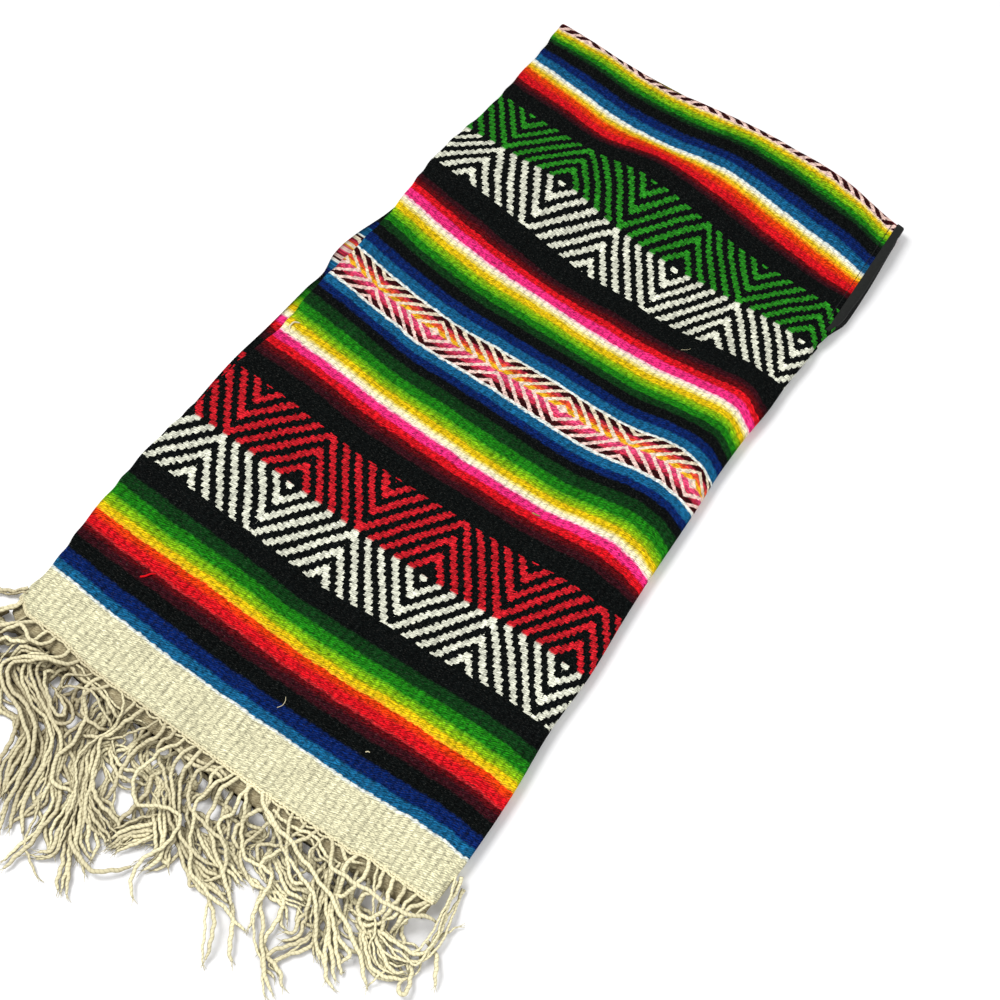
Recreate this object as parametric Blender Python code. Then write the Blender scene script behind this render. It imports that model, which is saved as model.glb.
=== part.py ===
"""Mexican serape with a neck slit, folded in four and lying flat.

The real garment is one woven rectangle, twice HALF_WIDTH wide and twice HALF_LENGTH long, with a
taped slit for the head along its middle and the warp left long at both ends as a fringe of cords.
It is folded lengthwise along the slit and then crosswise at the shoulders, so four layers lie on
each other and one quarter shows.

X runs across, from the selvedge (-X) to the slit and the lengthwise fold (+X). Y runs along, from
the fringe (-Y) to the shoulder fold (+Y). Z is up. The origin is in the middle of the flat
underside. Sizes are in millimetres, measured from the corner where the selvedge meets the hem, and
turned to metres as each mesh is made.
"""

import math
from collections import namedtuple
from functools import partial

import bmesh
import bpy

MM = 0.001

# The cloth, as cut and as folded.
HALF_WIDTH = 350.0  # selvedge to slit
HALF_LENGTH = 709.0  # knotted hem to shoulder fold
CLOTH = 2.8  # one layer of weft-faced weave on thick warps
SEAM = 0.3  # clearance between two pieces
SLIT_END = 572.0  # the slit runs from here to the shoulder fold, and as far again beyond it
UNDER_HEM = -14.0  # the hidden layers' hem lies this far past the top one's

# Heights of the folded stack.
LAYERS = 4
STACK = LAYERS * CLOTH + (LAYERS - 1) * SEAM
SHOULDER_PUFF = 3.4  # how much thicker the stack is at its crosswise fold
PUFF_FROM, PUFF_TO = 590.0, 690.0
FOLD_SWELL = 1.3  # how much higher the top layer stands along the lengthwise fold
SWELL_WIDTH = 30.0
SHOULDER_RADIUS = (STACK + SHOULDER_PUFF) / 2
LEVEL_2 = CLOTH + SEAM  # underside of the second layer up from the floor
LEVEL_3 = 2 * LEVEL_2  # underside of the third

# The shoulder fold bows outwards between the selvedge and the slit.
BOW, BOW_MIDDLE, BOW_HALF = 16.0, 235.0, 135.0
BOW_FROM = 540.0

# The curl of the top layer round the lengthwise fold, and its ends under the other layers.
CURL_RUN = 40.0  # the curl closes over this length below the slit's end
CURL_TAIL = 4.0
CURL_RADIUS = (STACK + FOLD_SWELL - LEVEL_3) / 2
FLAT_END = 3.0  # the last stretch of the cloth, inside its binding
SHOULDER_TAIL = 12.0
EDGE_ROUND = 0.8  # how far a cut or woven edge rounds out

# The black binding of the slit.
TAPE = 0.7
TAPE_INNER = 349.6  # the inner edge of the tape

# The fringe: each cord is two warps twisted together.
CORD_WIDE, CORD_HIGH = 2.5, 2.2
STRIP_DEEP = 3.0
TOP_CORDS, UNDER_CORDS = 58, 42
TOP_STEPS, UNDER_STEPS = 9, 7
TOP_LANE, UNDER_LANE = 4.7, 1.6  # heights of the cords' middles once they lie down
TIP_HEIGHT = 1.7

# How finely the sheets are divided.
COLUMNS = 16
CURL_COLUMNS = 6
ROWS = 26
TURN_ROWS = 9
TAPE_TURN_ROWS = 7

# Where the edges lie, from hem to shoulder: the top layer's and the hidden layers'.
Section = namedtuple("Section", "along selvedge fold under_selvedge under_fold")
SECTIONS = (
    Section(-20, -3, 347, 1, 345),
    Section(0, -2, 347, 1, 345),
    Section(45, 0, 349, 3, 347),
    Section(90, -6, 349, -3, 347),
    Section(147, -8, 346, -5, 344),
    Section(196, -7, 346, -7, 344),
    Section(249, -4, 342, -9, 341),
    Section(290, 1, 344, -7, 342),
    Section(340, 0, 344, -6, 342),
    Section(400, 1, 343, -5, 342),
    Section(440, 3, 344, 0, 342),
    Section(475, 1, 347, 3, 345),
    Section(510, -1, 348, 4, 347),
    Section(560, 2, 353, 5, 352),
    Section(590, 4, 357, 7, 358),
    Section(640, 5, 358, 8, 359),
    Section(690, 4, 357, 7, 357),
    Section(725, 1, 357, 6, 356),
)

# Soft ridges (and one trough) of the lying cloth.
Fold = namedtuple("Fold", "across along bearing half_length half_width height")
FOLDS = (
    Fold(205, 600, 88, 120, 60, 2.2),
    Fold(300, 320, 86, 210, 40, 2.0),
    Fold(55, 560, 80, 120, 45, 1.2),
    Fold(160, 430, 15, 150, 60, -0.8),
    Fold(45, 190, 98, 140, 38, 1.3),
    Fold(240, 95, 8, 130, 42, 1.0),
)

# How the cords flow from the hem: where along the hem, how far they sway sideways on the way, and
# where their tips end, sideways and outwards.
Lock = namedtuple("Lock", "at sway tip_aside reach")
TOP_LOCKS = (
    Lock(0.00, -26, 88, 128),
    Lock(0.25, -14, 58, 126),
    Lock(0.50, 6, 22, 118),
    Lock(0.75, 8, 6, 108),
    Lock(1.00, 10, 22, 56),
)
UNDER_LOCKS = (
    Lock(0.00, -10, -42, 64),
    Lock(0.25, 8, -14, 88),
    Lock(0.50, -6, 8, 90),
    Lock(0.75, 6, 2, 86),
    Lock(1.00, -4, 12, 60),
)


def smooth(value):
    """A soft step: 0 below 0, 1 above 1."""
    value = min(1.0, max(0.0, value))
    return value * value * (3 - 2 * value)


def mix(a, b, share):
    return a + (b - a) * share


def from_rows(rows, key, column, place):
    """The column's value at this place, on a smooth curve through the rows."""
    places = [getattr(row, key) for row in rows]
    values = [getattr(row, column) for row in rows]
    if place <= places[0]:
        return values[0]
    if place >= places[-1]:
        return values[-1]
    i = next(n for n in range(len(places) - 1) if place <= places[n + 1])
    before = values[max(i - 1, 0)]
    after = values[min(i + 2, len(values) - 1)]
    share = (place - places[i]) / (places[i + 1] - places[i])
    slope_in = (values[i + 1] - before) / 2
    slope_out = (after - values[i]) / 2
    bend = 2 * values[i] - 2 * values[i + 1] + slope_in + slope_out
    lean = 3 * values[i + 1] - 3 * values[i] - 2 * slope_in - slope_out
    return values[i] + share * (slope_in + share * (lean + share * bend))


def edge(column, along):
    return from_rows(SECTIONS, "along", column, along)


def bump(fold, x, y):
    """Height of one soft ridge at this place: a rounded crest that fades out all round."""
    turn = math.radians(fold.bearing)
    dx, dy = x - fold.across, y - fold.along
    lengthwise = (dx * math.cos(turn) + dy * math.sin(turn)) / fold.half_length
    sideways = (dy * math.cos(turn) - dx * math.sin(turn)) / fold.half_width
    if abs(lengthwise) >= 1 or abs(sideways) >= 1:
        return 0.0
    crest = math.cos(lengthwise * math.pi / 2) * math.cos(sideways * math.pi / 2)
    return fold.height * crest * crest


def slit_open(along):
    """0 where the lengthwise fold is closed, 1 along the slit."""
    return smooth((along - SLIT_END + CURL_RUN) / CURL_RUN)


def stack_height(x, along):
    """Height of the top layer's upper face over the floor."""
    puff = SHOULDER_PUFF * smooth((along - PUFF_FROM) / (PUFF_TO - PUFF_FROM))
    settled = 1 - smooth((along - PUFF_TO + 60) / 60)
    ridges = sum(bump(fold, x, along) for fold in FOLDS) * settled
    swell_from = edge("fold", along) - SWELL_WIDTH
    swell = FOLD_SWELL * smooth((x - swell_from) / SWELL_WIDTH) * (1 - slit_open(along))
    return STACK + puff + ridges * smooth(along / 40) + swell


def bowed(x, along):
    """Y of a point, with the shoulder fold's outward bow."""
    away = abs(x - BOW_MIDDLE) / BOW_HALF
    bow = BOW * math.cos(min(1.0, away) * math.pi / 2) ** 2
    return along + bow * smooth((along - BOW_FROM) / (HALF_LENGTH - BOW_FROM))


TURN_START = HALF_LENGTH - SHOULDER_RADIUS  # where the cloth starts to turn down at the shoulder
TAIL_START = TURN_START - SHOULDER_TAIL - SEAM  # where the top layer's end lies under the others


def stations(start, stop):
    """Places along the cloth where every piece has a section, so that their faces run alike."""
    places = {TURN_START * row / ROWS for row in range(ROWS + 1)}
    places |= {start, stop, SLIT_END, TAIL_START}
    return sorted(place for place in places if start <= place <= stop)


def round_shoulder(x, z, degrees):
    """A point of the flat cloth at TURN_START, carried round the shoulder fold."""
    turn = math.radians(degrees)
    arm = z - SHOULDER_RADIUS
    y = bowed(x, TURN_START) + arm * math.sin(turn)
    return (x, y, SHOULDER_RADIUS + arm * math.cos(turn))


# Meshes


def to_frame(point):
    x, y, z = point
    return ((x - HALF_WIDTH / 2) * MM, (y - HALF_LENGTH / 2) * MM, z * MM)


def skin(rings, upper, side):
    """A closed body through rings of points that all run the same way.

    Each ring holds `upper` points along its upper face, `side` points down its far edge, as many
    again as `upper` back along its lower face, and `side` points up its near edge.
    """
    bm = bmesh.new()
    verts = [[bm.verts.new(to_frame(point)) for point in ring] for ring in rings]
    size = len(rings[0])
    lower_start = upper + side
    for ring, following in zip(verts, verts[1:]):
        for i in range(size):
            j = (i + 1) % size
            # Each pair of triangles splits the same way on both faces, so that faces nest.
            if i < lower_start:
                bm.faces.new((ring[i], ring[j], following[j]))
                bm.faces.new((ring[i], following[j], following[i]))
            else:
                bm.faces.new((ring[i], ring[j], following[i]))
                bm.faces.new((ring[j], following[j], following[i]))
    for ring, flip in ((verts[0], True), (verts[-1], False)):
        faces = []
        for i in range(upper - 1):
            below = lower_start + upper - 1 - i
            faces.append([ring[i], ring[i + 1], ring[below - 1], ring[below]])
        if side:
            faces.append(ring[upper - 1 : lower_start + 1])
            faces.append(ring[lower_start + upper - 1 :] + [ring[0]])
        for face in faces:
            bm.faces.new(face[::-1] if flip else face)
    return bm


def finish(name, bm, colour, roughness):
    """Makes the object, with its faces outwards and its own material."""
    bmesh.ops.recalc_face_normals(bm, faces=bm.faces)
    mesh = bpy.data.meshes.new(name)
    bm.to_mesh(mesh)
    bm.free()
    mesh.shade_smooth()
    mesh.set_sharp_from_angle(angle=math.radians(40))
    obj = bpy.data.objects.new(name, mesh)
    bpy.context.scene.collection.objects.link(obj)
    material = bpy.data.materials.new(name)
    material.use_nodes = True
    shader = material.node_tree.nodes["Principled BSDF"]
    shader.inputs["Base Color"].default_value = (*colour, 1.0)
    shader.inputs["Roughness"].default_value = roughness
    shader.inputs["Metallic"].default_value = 0.0
    mesh.materials.append(material)
    return obj


# The top layer


def curl_angle(along):
    return 180.0 * (1 - slit_open(along))


def top_columns(along):
    """Points (x, z) of the upper face from the selvedge to where the curl starts."""
    opened = slit_open(along)
    outer = edge("fold", along) - opened * (TAPE + SEAM + EDGE_ROUND)
    quarter = math.radians(min(90.0, curl_angle(along)))
    start = outer - CURL_RADIUS * math.sin(quarter) - FLAT_END * opened
    near = edge("selvedge", along) + EDGE_ROUND
    places = [mix(near, start, i / (COLUMNS - 1)) for i in range(COLUMNS)]
    return [(x, stack_height(x, along)) for x in places]


def height_on(columns, x):
    """Height of the upper face at x, straight between its columns and level past its ends."""
    for (x0, z0), (x1, z1) in zip(columns, columns[1:]):
        if x <= x1:
            return mix(z0, z1, max(0.0, x - x0) / (x1 - x0))
    return columns[-1][1]


def top_section(along):
    """The top layer across the garment, as pairs of (x, z): its upper face, its lower face.

    Below the slit the far edge curls round the lengthwise fold and under. Along the slit it ends
    flat, inside its binding.
    """
    angle = curl_angle(along)
    columns = top_columns(along)
    start, height = columns[-1]
    pairs = [((x, z), (x, z - CLOTH)) for x, z in columns]
    radius = (height - LEVEL_3) / 2 if angle > 90 else CURL_RADIUS
    straight = mix(0.3, FLAT_END, slit_open(along))
    tucked = CURL_TAIL * smooth((angle - 165) / 15)
    for i in range(1, CURL_COLUMNS + 1):
        turn = math.radians(angle * i / CURL_COLUMNS)
        tail = straight * i / CURL_COLUMNS
        if i == CURL_COLUMNS:
            tail += tucked
        pair = []
        for depth in (0.0, CLOTH):
            x = start + (radius - depth) * math.sin(turn) + tail * math.cos(turn)
            z = height - radius + (radius - depth) * math.cos(turn) - tail * math.sin(turn)
            pair.append((x, z))
        pairs.append(tuple(pair))
    return pairs


def rounded_ring(pairs):
    """The pairs as one ring, with a point half a wall out at each edge to round it."""
    ring = [upper for upper, lower in pairs]
    for (upper, lower), (inner_upper, inner_lower) in ((pairs[-1], pairs[-2]), (pairs[0], pairs[1])):
        dx = upper[0] + lower[0] - inner_upper[0] - inner_lower[0]
        dz = upper[1] + lower[1] - inner_upper[1] - inner_lower[1]
        size = math.hypot(dx, dz)
        x = (upper[0] + lower[0]) / 2 + EDGE_ROUND * dx / size
        z = (upper[1] + lower[1]) / 2 + EDGE_ROUND * dz / size
        ring.append((x, z))
        if len(ring) == len(pairs) + 1:
            ring += [lower for upper, lower in reversed(pairs)]
    return ring


def cloth_top():
    """The quarter that shows: it curls round the fold and turns down round the shoulders."""
    rings = []
    for along in stations(0.0, TURN_START):
        ring = rounded_ring(top_section(along))
        rings.append([(x, bowed(x, along), z) for x, z in ring])
    flat = rounded_ring(top_section(TURN_START))
    for row in range(1, TURN_ROWS + 1):
        rings.append([round_shoulder(x, z, 180.0 * row / TURN_ROWS) for x, z in flat])
    rings.append([(x, y - SHOULDER_TAIL, z) for x, y, z in rings[-1]])
    bm = skin(rings, COLUMNS + CURL_COLUMNS, 1)
    return finish("cloth_top", bm, (0.42, 0.03, 0.05), 0.92)


# The hidden layers


def side_profile(near_x, out, levels):
    """Points down a stack of layers' edges, rounded at each layer and grooved between them."""
    groove, corner = 1.7, 0.7
    top, second, first = levels
    return [
        (near_x - out * (corner - 0.6), top - 0.6),
        (near_x - out * 0.1, second + 0.8),
        (near_x - out * groove, second),
        (near_x, second - 0.8),
        (near_x, first + 0.8),
        (near_x - out * groove, first),
        (near_x + out * 0.6, first - 0.8),
        (near_x + out * 0.5, 0.7),
    ]


def fold_profile(inner_x, near_x):
    """Points down the lengthwise fold: a step under the top layer's curl, then a rounded fold."""
    top = LEVEL_3 - SEAM
    return [
        (inner_x, LEVEL_3 + 1.6),
        (inner_x, top + 0.01),
        (near_x - 2.0, top),
        (near_x - 0.5, top - 0.7),
        (near_x, top * 0.64),
        (near_x, top * 0.36),
        (near_x - 0.2, 0.9),
        (near_x - 0.9, 0.25),
    ]


def under_section(along, floor):
    """The hidden layers across the garment, as one ring of (x, z)."""
    hidden = CURL_RADIUS + CURL_TAIL + EDGE_ROUND + 4 * SEAM
    opened = smooth((along - SLIT_END - 8) / 20)
    beside_tape = TAPE_INNER - SEAM
    near = edge("under_selvedge", along)
    inner = mix(edge("fold", along) - hidden, beside_tape, opened)
    far = mix(edge("under_fold", along), beside_tape, smooth((along - SLIT_END + 14) / 10))
    columns = top_columns(along)
    places = [near + 0.8] + [x for x, z in columns[1:-1]] + [inner]
    upper = [(x, height_on(columns, x) - CLOTH - SEAM) for x in places]
    low_far = mix(far - 2.0, inner, opened)
    lower = [(mix(low_far, near + 0.8, i / (COLUMNS - 1)), floor) for i in range(COLUMNS)]
    flat = [(inner, mix(upper[-1][1] - 0.4, floor + 0.4, i / 7)) for i in range(8)]
    far_side = []
    for (fold_x, fold_z), (flat_x, flat_z) in zip(fold_profile(inner, far), flat):
        z = mix(fold_z, flat_z, opened)
        far_side.append((mix(fold_x, flat_x, opened), max(z, floor + 0.05)))
    levels = (upper[0][1], LEVEL_3 - SEAM / 2, LEVEL_2 - SEAM / 2)
    near_side = side_profile(near, -1.0, levels)[::-1]
    near_side = [(x, max(z, floor + 0.2 + 0.02 * n)) for n, (x, z) in enumerate(near_side)]
    return upper + far_side + lower + near_side


def stack_end(section, inner_radius):
    """Rings that close a stack inside the shoulder fold, rounded round the fold's axis."""
    rings = []
    height = section[0][1] - SHOULDER_RADIUS
    for degrees in (0.0, 35.0, 60.0, 80.0):
        turn = math.radians(degrees)
        ring = []
        for x, z in section:
            share = (z - SHOULDER_RADIUS) / height
            y = bowed(x, TURN_START) + inner_radius * math.sin(turn)
            ring.append((x, y, SHOULDER_RADIUS + share * inner_radius * math.cos(turn)))
        rings.append(ring)
    return rings


def cloth_under():
    """The three hidden layers as one rounded body, layered at its edges."""
    rings = []
    for along in stations(UNDER_HEM, TAIL_START):
        rings.append([(x, bowed(x, along), z) for x, z in under_section(along, 0.0)])
    raised = under_section(TAIL_START, LEVEL_2)
    rings.append([(x, bowed(x, TAIL_START), z) for x, z in raised])
    radius = SHOULDER_RADIUS - CLOTH - SEAM
    rings += stack_end(under_section(TURN_START, SHOULDER_RADIUS - radius), radius)
    bm = skin(rings, COLUMNS, 8)
    return finish("cloth_under", bm, (0.03, 0.12, 0.05), 0.92)


# The binding of the slit


def neck_tape_top():
    """A doubled black tape folded over the top layer's slit edge, on round the shoulder fold."""
    rings = []
    steps = 7

    def section(along, z):
        out = edge("fold", along)
        cloth_end = out - TAPE - SEAM
        upper, lower = z + SEAM + TAPE, z - CLOTH - SEAM - TAPE
        outer = [(TAPE_INNER, upper), (out - 1.6, upper), (out - 0.4, upper - 0.7)]
        outer += [(out, mix(upper, lower, 0.5)), (out - 0.4, lower + 0.7), (out - 1.6, lower)]
        outer += [(TAPE_INNER, lower)]
        inside = [(TAPE_INNER, lower + TAPE), (cloth_end - 0.6, lower + TAPE)]
        inside += [(cloth_end + 0.2, lower + TAPE + 0.6), (cloth_end + 0.32, mix(upper, lower, 0.5))]
        inside += [(cloth_end + 0.2, upper - TAPE - 0.6), (cloth_end - 0.6, upper - TAPE)]
        inside += [(TAPE_INNER, upper - TAPE)]
        return outer + inside

    for along in stations(SLIT_END, TURN_START):
        height = top_columns(along)[-1][1]
        rings.append([(x, bowed(x, along), z) for x, z in section(along, height)])
    flat = section(TURN_START, 2 * SHOULDER_RADIUS)
    for row in range(1, TAPE_TURN_ROWS + 1):
        rings.append([round_shoulder(x, z, 180.0 * row / TURN_ROWS) for x, z in flat])
    bm = skin(rings, steps, 0)
    return finish("neck_tape_top", bm, (0.012, 0.012, 0.014), 0.8)


def neck_tape_under():
    """The bindings of the hidden slit edges, stacked, layered at their outer side."""
    rings = []
    lift = CLOTH + 2 * SEAM + TAPE

    def section(along, floor):
        far = edge("under_fold", along)
        roof = top_columns(along)[-1][1] - lift
        upper = [(mix(TAPE_INNER, far - 0.9, i / 2), roof) for i in range(3)]
        lower = [(mix(far - 0.9, TAPE_INNER, i / 2), floor) for i in range(3)]
        levels = (roof, LEVEL_3 - SEAM / 2, LEVEL_2 - SEAM / 2)
        far_side = [(x, max(z, floor + 0.3)) for x, z in side_profile(far - 0.6, 1.0, levels)]
        far_side = [(x, z - 0.02 * n) for n, (x, z) in enumerate(far_side)]
        near_side = [(TAPE_INNER, mix(floor, roof, (i + 1) / 9)) for i in range(8)]
        return upper + far_side + lower + near_side

    for along in stations(SLIT_END, TAIL_START):
        rings.append([(x, bowed(x, along), z) for x, z in section(along, 0.0)])
    rings.append([(x, bowed(x, TAIL_START), z) for x, z in section(TAIL_START, LEVEL_2)])
    rings += stack_end(section(TURN_START, lift), SHOULDER_RADIUS - lift)
    bm = skin(rings, 3, 8)
    return finish("neck_tape_under", bm, (0.012, 0.012, 0.014), 0.8)


# The fringe


def cord_path(root_x, hem, locks, share, steps, height_at):
    """Middles of one cord's sections from its root to its tip, on a flow shared by the fringe."""
    sway = from_rows(locks, "at", "sway", share)
    aside = from_rows(locks, "at", "tip_aside", share)
    reach = from_rows(locks, "at", "reach", share)
    root_y = hem - SEAM - STRIP_DEEP
    points = []
    for i in range(1, steps + 1):
        t = i / steps
        x = root_x + sway * math.sin(math.pi * t) + aside * t * t
        y = mix(root_y, hem - reach, t)
        points.append((x, y, height_at(y)))
    return points


def fringe(name, cords, hem, near, far, base_at, locks, steps, heights, colour):
    """A narrow strip along the hem with its cords growing out of it, as one body."""
    bm = bmesh.new()
    pitch = (far - near) / cords
    back, front = hem - SEAM, hem - SEAM - STRIP_DEEP
    stops = [near]
    for i in range(cords):
        middle = near + (i + 0.5) * pitch
        stops += [middle - CORD_WIDE / 2, middle + CORD_WIDE / 2]
    stops.append(far)
    posts = []
    for x in stops:
        low, high = base_at(x) - CORD_HIGH / 2, base_at(x) + CORD_HIGH / 2
        corners = ((back, low), (back, high), (front, high), (front, low))
        posts.append([bm.verts.new(to_frame((x, y, z))) for y, z in corners])
    for n, (a, b) in enumerate(zip(posts, posts[1:])):
        bm.faces.new((a[0], b[0], b[1], a[1]))
        bm.faces.new((a[1], b[1], b[2], a[2]))
        bm.faces.new((a[3], b[3], b[0], a[0]))
        if n % 2 == 0:
            bm.faces.new((a[2], b[2], b[3], a[3]))
    bm.faces.new(posts[0][::-1])
    bm.faces.new(posts[-1])
    for i in range(cords):
        a, b = posts[2 * i + 1], posts[2 * i + 2]
        ring = [a[2], b[2], b[3], a[3]]
        middle = near + (i + 0.5) * pitch
        share = (i + 0.5) / cords
        base = base_at(middle)
        path = cord_path(middle, hem, locks, share, steps, partial(heights, base))
        points = [(middle, front, base)] + path
        for n in range(1, len(points)):
            x, y, z = points[n]
            before, after = points[n - 1], points[min(n + 1, len(points) - 1)]
            run_x, run_y = after[0] - before[0], after[1] - before[1]
            run = math.hypot(run_x, run_y)
            taper = 0.6 if n == len(points) - 1 else 1.0
            side_x = -run_y / run * CORD_WIDE / 2 * taper
            side_y = run_x / run * CORD_WIDE / 2 * taper
            rise = CORD_HIGH / 2 * taper
            corners = ((-1, 1), (1, 1), (1, -1), (-1, -1))
            following = []
            for side, up in corners:
                point = (x + side * side_x, y + side * side_y, z + up * rise)
                following.append(bm.verts.new(to_frame(point)))
            for k in range(4):
                m = (k + 1) % 4
                bm.faces.new((ring[k], ring[m], following[m], following[k]))
            ring = following
        bm.faces.new(ring)
    return finish(name, bm, colour, 0.95)


def fringe_top():
    """The cords of the top layer: out over the hidden hem, then down onto the other cords."""
    columns = top_columns(0.0)

    def base_at(x):
        return height_on(columns, x) - CLOTH / 2

    def heights(base, y):
        lying = mix(base, TOP_LANE, smooth((-20.0 - y) / 34.0))
        return mix(lying, TIP_HEIGHT, smooth((-108.0 - y) / 16.0))

    near, far = edge("selvedge", 0) + 2, edge("fold", 0) - 2
    return fringe(
        "fringe_top",
        TOP_CORDS,
        0.0,
        near,
        far,
        base_at,
        TOP_LOCKS,
        TOP_STEPS,
        heights,
        (0.62, 0.54, 0.35),
    )


def fringe_under():
    """The cords of the hidden layers, lying on the floor."""

    def base_at(x):
        return LEVEL_2 + CLOTH / 2

    def heights(base, y):
        return mix(base, UNDER_LANE, smooth((UNDER_HEM - 4.0 - y) / 14.0))

    near, far = edge("under_selvedge", 0) + 3, edge("under_fold", 0) - 3
    return fringe(
        "fringe_under",
        UNDER_CORDS,
        UNDER_HEM,
        near,
        far,
        base_at,
        UNDER_LOCKS,
        UNDER_STEPS,
        heights,
        (0.45, 0.39, 0.27),
    )


def clear_scene():
    for obj in list(bpy.data.objects):
        bpy.data.objects.remove(obj, do_unlink=True)


def main():
    clear_scene()
    cloth_top()
    cloth_under()
    neck_tape_top()
    neck_tape_under()
    fringe_top()
    fringe_under()


main()
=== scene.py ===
# %% [markdown]
# # A folded serape, dressed
#
# The solids in the frame give the garment's folded shape. Here each of them is replaced by a thin
# woven sheet, a bound edge or a fringe of twisted cords, and every finish is made from nodes.
# Sizes in the tables are millimetres from the corner where the selvedge meets the hem.

# %% Start
import math
from collections import namedtuple

import bpy
import numpy as np
from mathutils import Matrix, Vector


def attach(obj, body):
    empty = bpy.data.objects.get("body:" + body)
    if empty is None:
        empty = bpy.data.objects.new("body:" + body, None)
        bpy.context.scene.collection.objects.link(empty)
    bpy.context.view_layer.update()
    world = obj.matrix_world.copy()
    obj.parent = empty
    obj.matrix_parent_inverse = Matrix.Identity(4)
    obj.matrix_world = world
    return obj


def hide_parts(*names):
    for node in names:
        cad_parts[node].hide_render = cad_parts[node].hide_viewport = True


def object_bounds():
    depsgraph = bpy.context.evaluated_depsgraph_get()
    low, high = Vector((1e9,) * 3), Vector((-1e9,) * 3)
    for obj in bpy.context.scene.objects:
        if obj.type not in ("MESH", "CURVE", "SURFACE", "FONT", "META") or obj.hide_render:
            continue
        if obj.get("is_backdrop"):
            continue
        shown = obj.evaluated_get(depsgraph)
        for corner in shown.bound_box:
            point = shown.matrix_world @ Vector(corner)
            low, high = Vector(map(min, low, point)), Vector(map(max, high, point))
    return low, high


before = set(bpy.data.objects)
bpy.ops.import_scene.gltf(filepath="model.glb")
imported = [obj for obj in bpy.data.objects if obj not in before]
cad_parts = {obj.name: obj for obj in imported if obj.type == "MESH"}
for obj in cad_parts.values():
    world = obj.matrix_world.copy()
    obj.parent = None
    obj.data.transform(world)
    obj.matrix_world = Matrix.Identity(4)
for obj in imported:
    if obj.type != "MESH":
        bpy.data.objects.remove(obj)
cad_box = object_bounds()
MM = 0.001
print("CAD nodes:", ", ".join(sorted(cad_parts)))

# %% [markdown]
# ## The camera
#
# A camera is a place, a direction and a lens. This one looks down at the cloth from the fringe end
# with a 50 mm lens, and is rolled by 18 degrees, so that the cloth lies slanted across the picture.
# The lamps are turned by the same function later.

# %% Camera
CAMERA_AT = (191.0, -544.9, 919.3)
CAMERA_LOOKS_AT = (44.96, -79.97, 12.0)
CAMERA_ROLL = math.radians(-17.98)
LENS, SENSOR = 50.0, 36.0


def facing(at, to, roll=0.0):
    """The matrix of a camera or lamp that stands at one point and looks at another."""
    ahead = (to - at) / np.linalg.norm(to - at)
    right = np.cross(ahead, (0, 0, 1))
    right /= np.linalg.norm(right)
    up = np.cross(right, ahead)
    cos, sin = math.cos(roll), math.sin(roll)
    matrix = np.eye(4)
    matrix[:3, 0] = right * cos - up * sin
    matrix[:3, 1] = right * sin + up * cos
    matrix[:3, 2] = -ahead
    matrix[:3, 3] = at
    return Matrix(matrix.tolist())


def place_camera():
    data = bpy.data.cameras.new("camera")
    data.lens, data.sensor_width = LENS, SENSOR
    camera = bpy.data.objects.new("camera", data)
    bpy.context.scene.collection.objects.link(camera)
    at, to = np.array(CAMERA_AT) * MM, np.array(CAMERA_LOOKS_AT) * MM
    camera.matrix_world = facing(at, to, CAMERA_ROLL)
    bpy.context.scene.camera = camera


place_camera()
print("camera at", [round(value) for value in CAMERA_AT], "mm")

# %% [markdown]
# ## The folded cloth's sizes
#
# The garment is one rectangle, 0.70 by 1.42 m. Folded along its slit and then at its shoulders, a
# quarter shows. The tables say where that quarter's edges lie, where soft ridges cross it, and how
# far each row of weft wanders from straight: hand-woven weft is never quite level, and the woven
# stripes show it.

# %% Sizes and tables
HALF_WIDTH, HALF_LENGTH = 350.0, 709.0
CLOTH, SEAM = 2.8, 0.3  # one layer's thickness, and the gap between two
SHELL = 2.5  # thickness of the woven sheet that is drawn
SLIT_END, UNDER_HEM = 572.0, -10.0  # how far along the slit ends, and the hidden layers begin
STACK = 4 * CLOTH + 3 * SEAM
SHOULDER_PUFF, PUFF_FROM, PUFF_TO = 3.4, 590.0, 690.0  # the shoulder fold is fuller
RIDGES_FADE, HEM_FADE = 60.0, 40.0  # how far before PUFF_TO, and into the cloth, they fade
FOLD_SWELL, SWELL_WIDTH = 1.3, 30.0  # and so is the lengthwise one
SHOULDER_RADIUS = (STACK + SHOULDER_PUFF) / 2
LEVEL_2 = CLOTH + SEAM
LEVEL_3 = 2 * LEVEL_2
BOW, BOW_MIDDLE, BOW_HALF, BOW_FROM = 14.5, 235.0, 135.0, 540.0  # the shoulder bows outwards
STRETCH = 7.6  # how far the full shoulder stands past the solid
# The shoulder isn't straight: how much further it stands, at places across.
SHOULDER_AT = (0, 35, 60, 95, 115, 140, 190, 215, 240, 262, 288, 303, 316, 335, 350)
SHOULDER_MORE = (0, -0.2, -2.4, -2.0, -3.0, -0.2, 0, -1.0, -1.5, 0.8, 3.0, 2.4, 0.6, -1.5, -2.8)
# The lengthwise fold uncurls into the slit over a run, and the sheet has a short tail past either.
CURL_RUN, CURL_TAIL, FLAT_END = 40.0, 4.0, 3.0
CURL_RADIUS = (STACK + FOLD_SWELL - LEVEL_3) / 2
TURN_START = HALF_LENGTH - SHOULDER_RADIUS
SHOULDER_TAIL = 12.0
TAIL_START = TURN_START - SHOULDER_TAIL - SEAM
TAPE, TAPE_INNER = 0.7, 349.6  # the tape's thickness, and where across its inner edge lies
CREAM = 42.0  # depth of the undyed band, from the hem to the first dyed stripe

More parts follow.
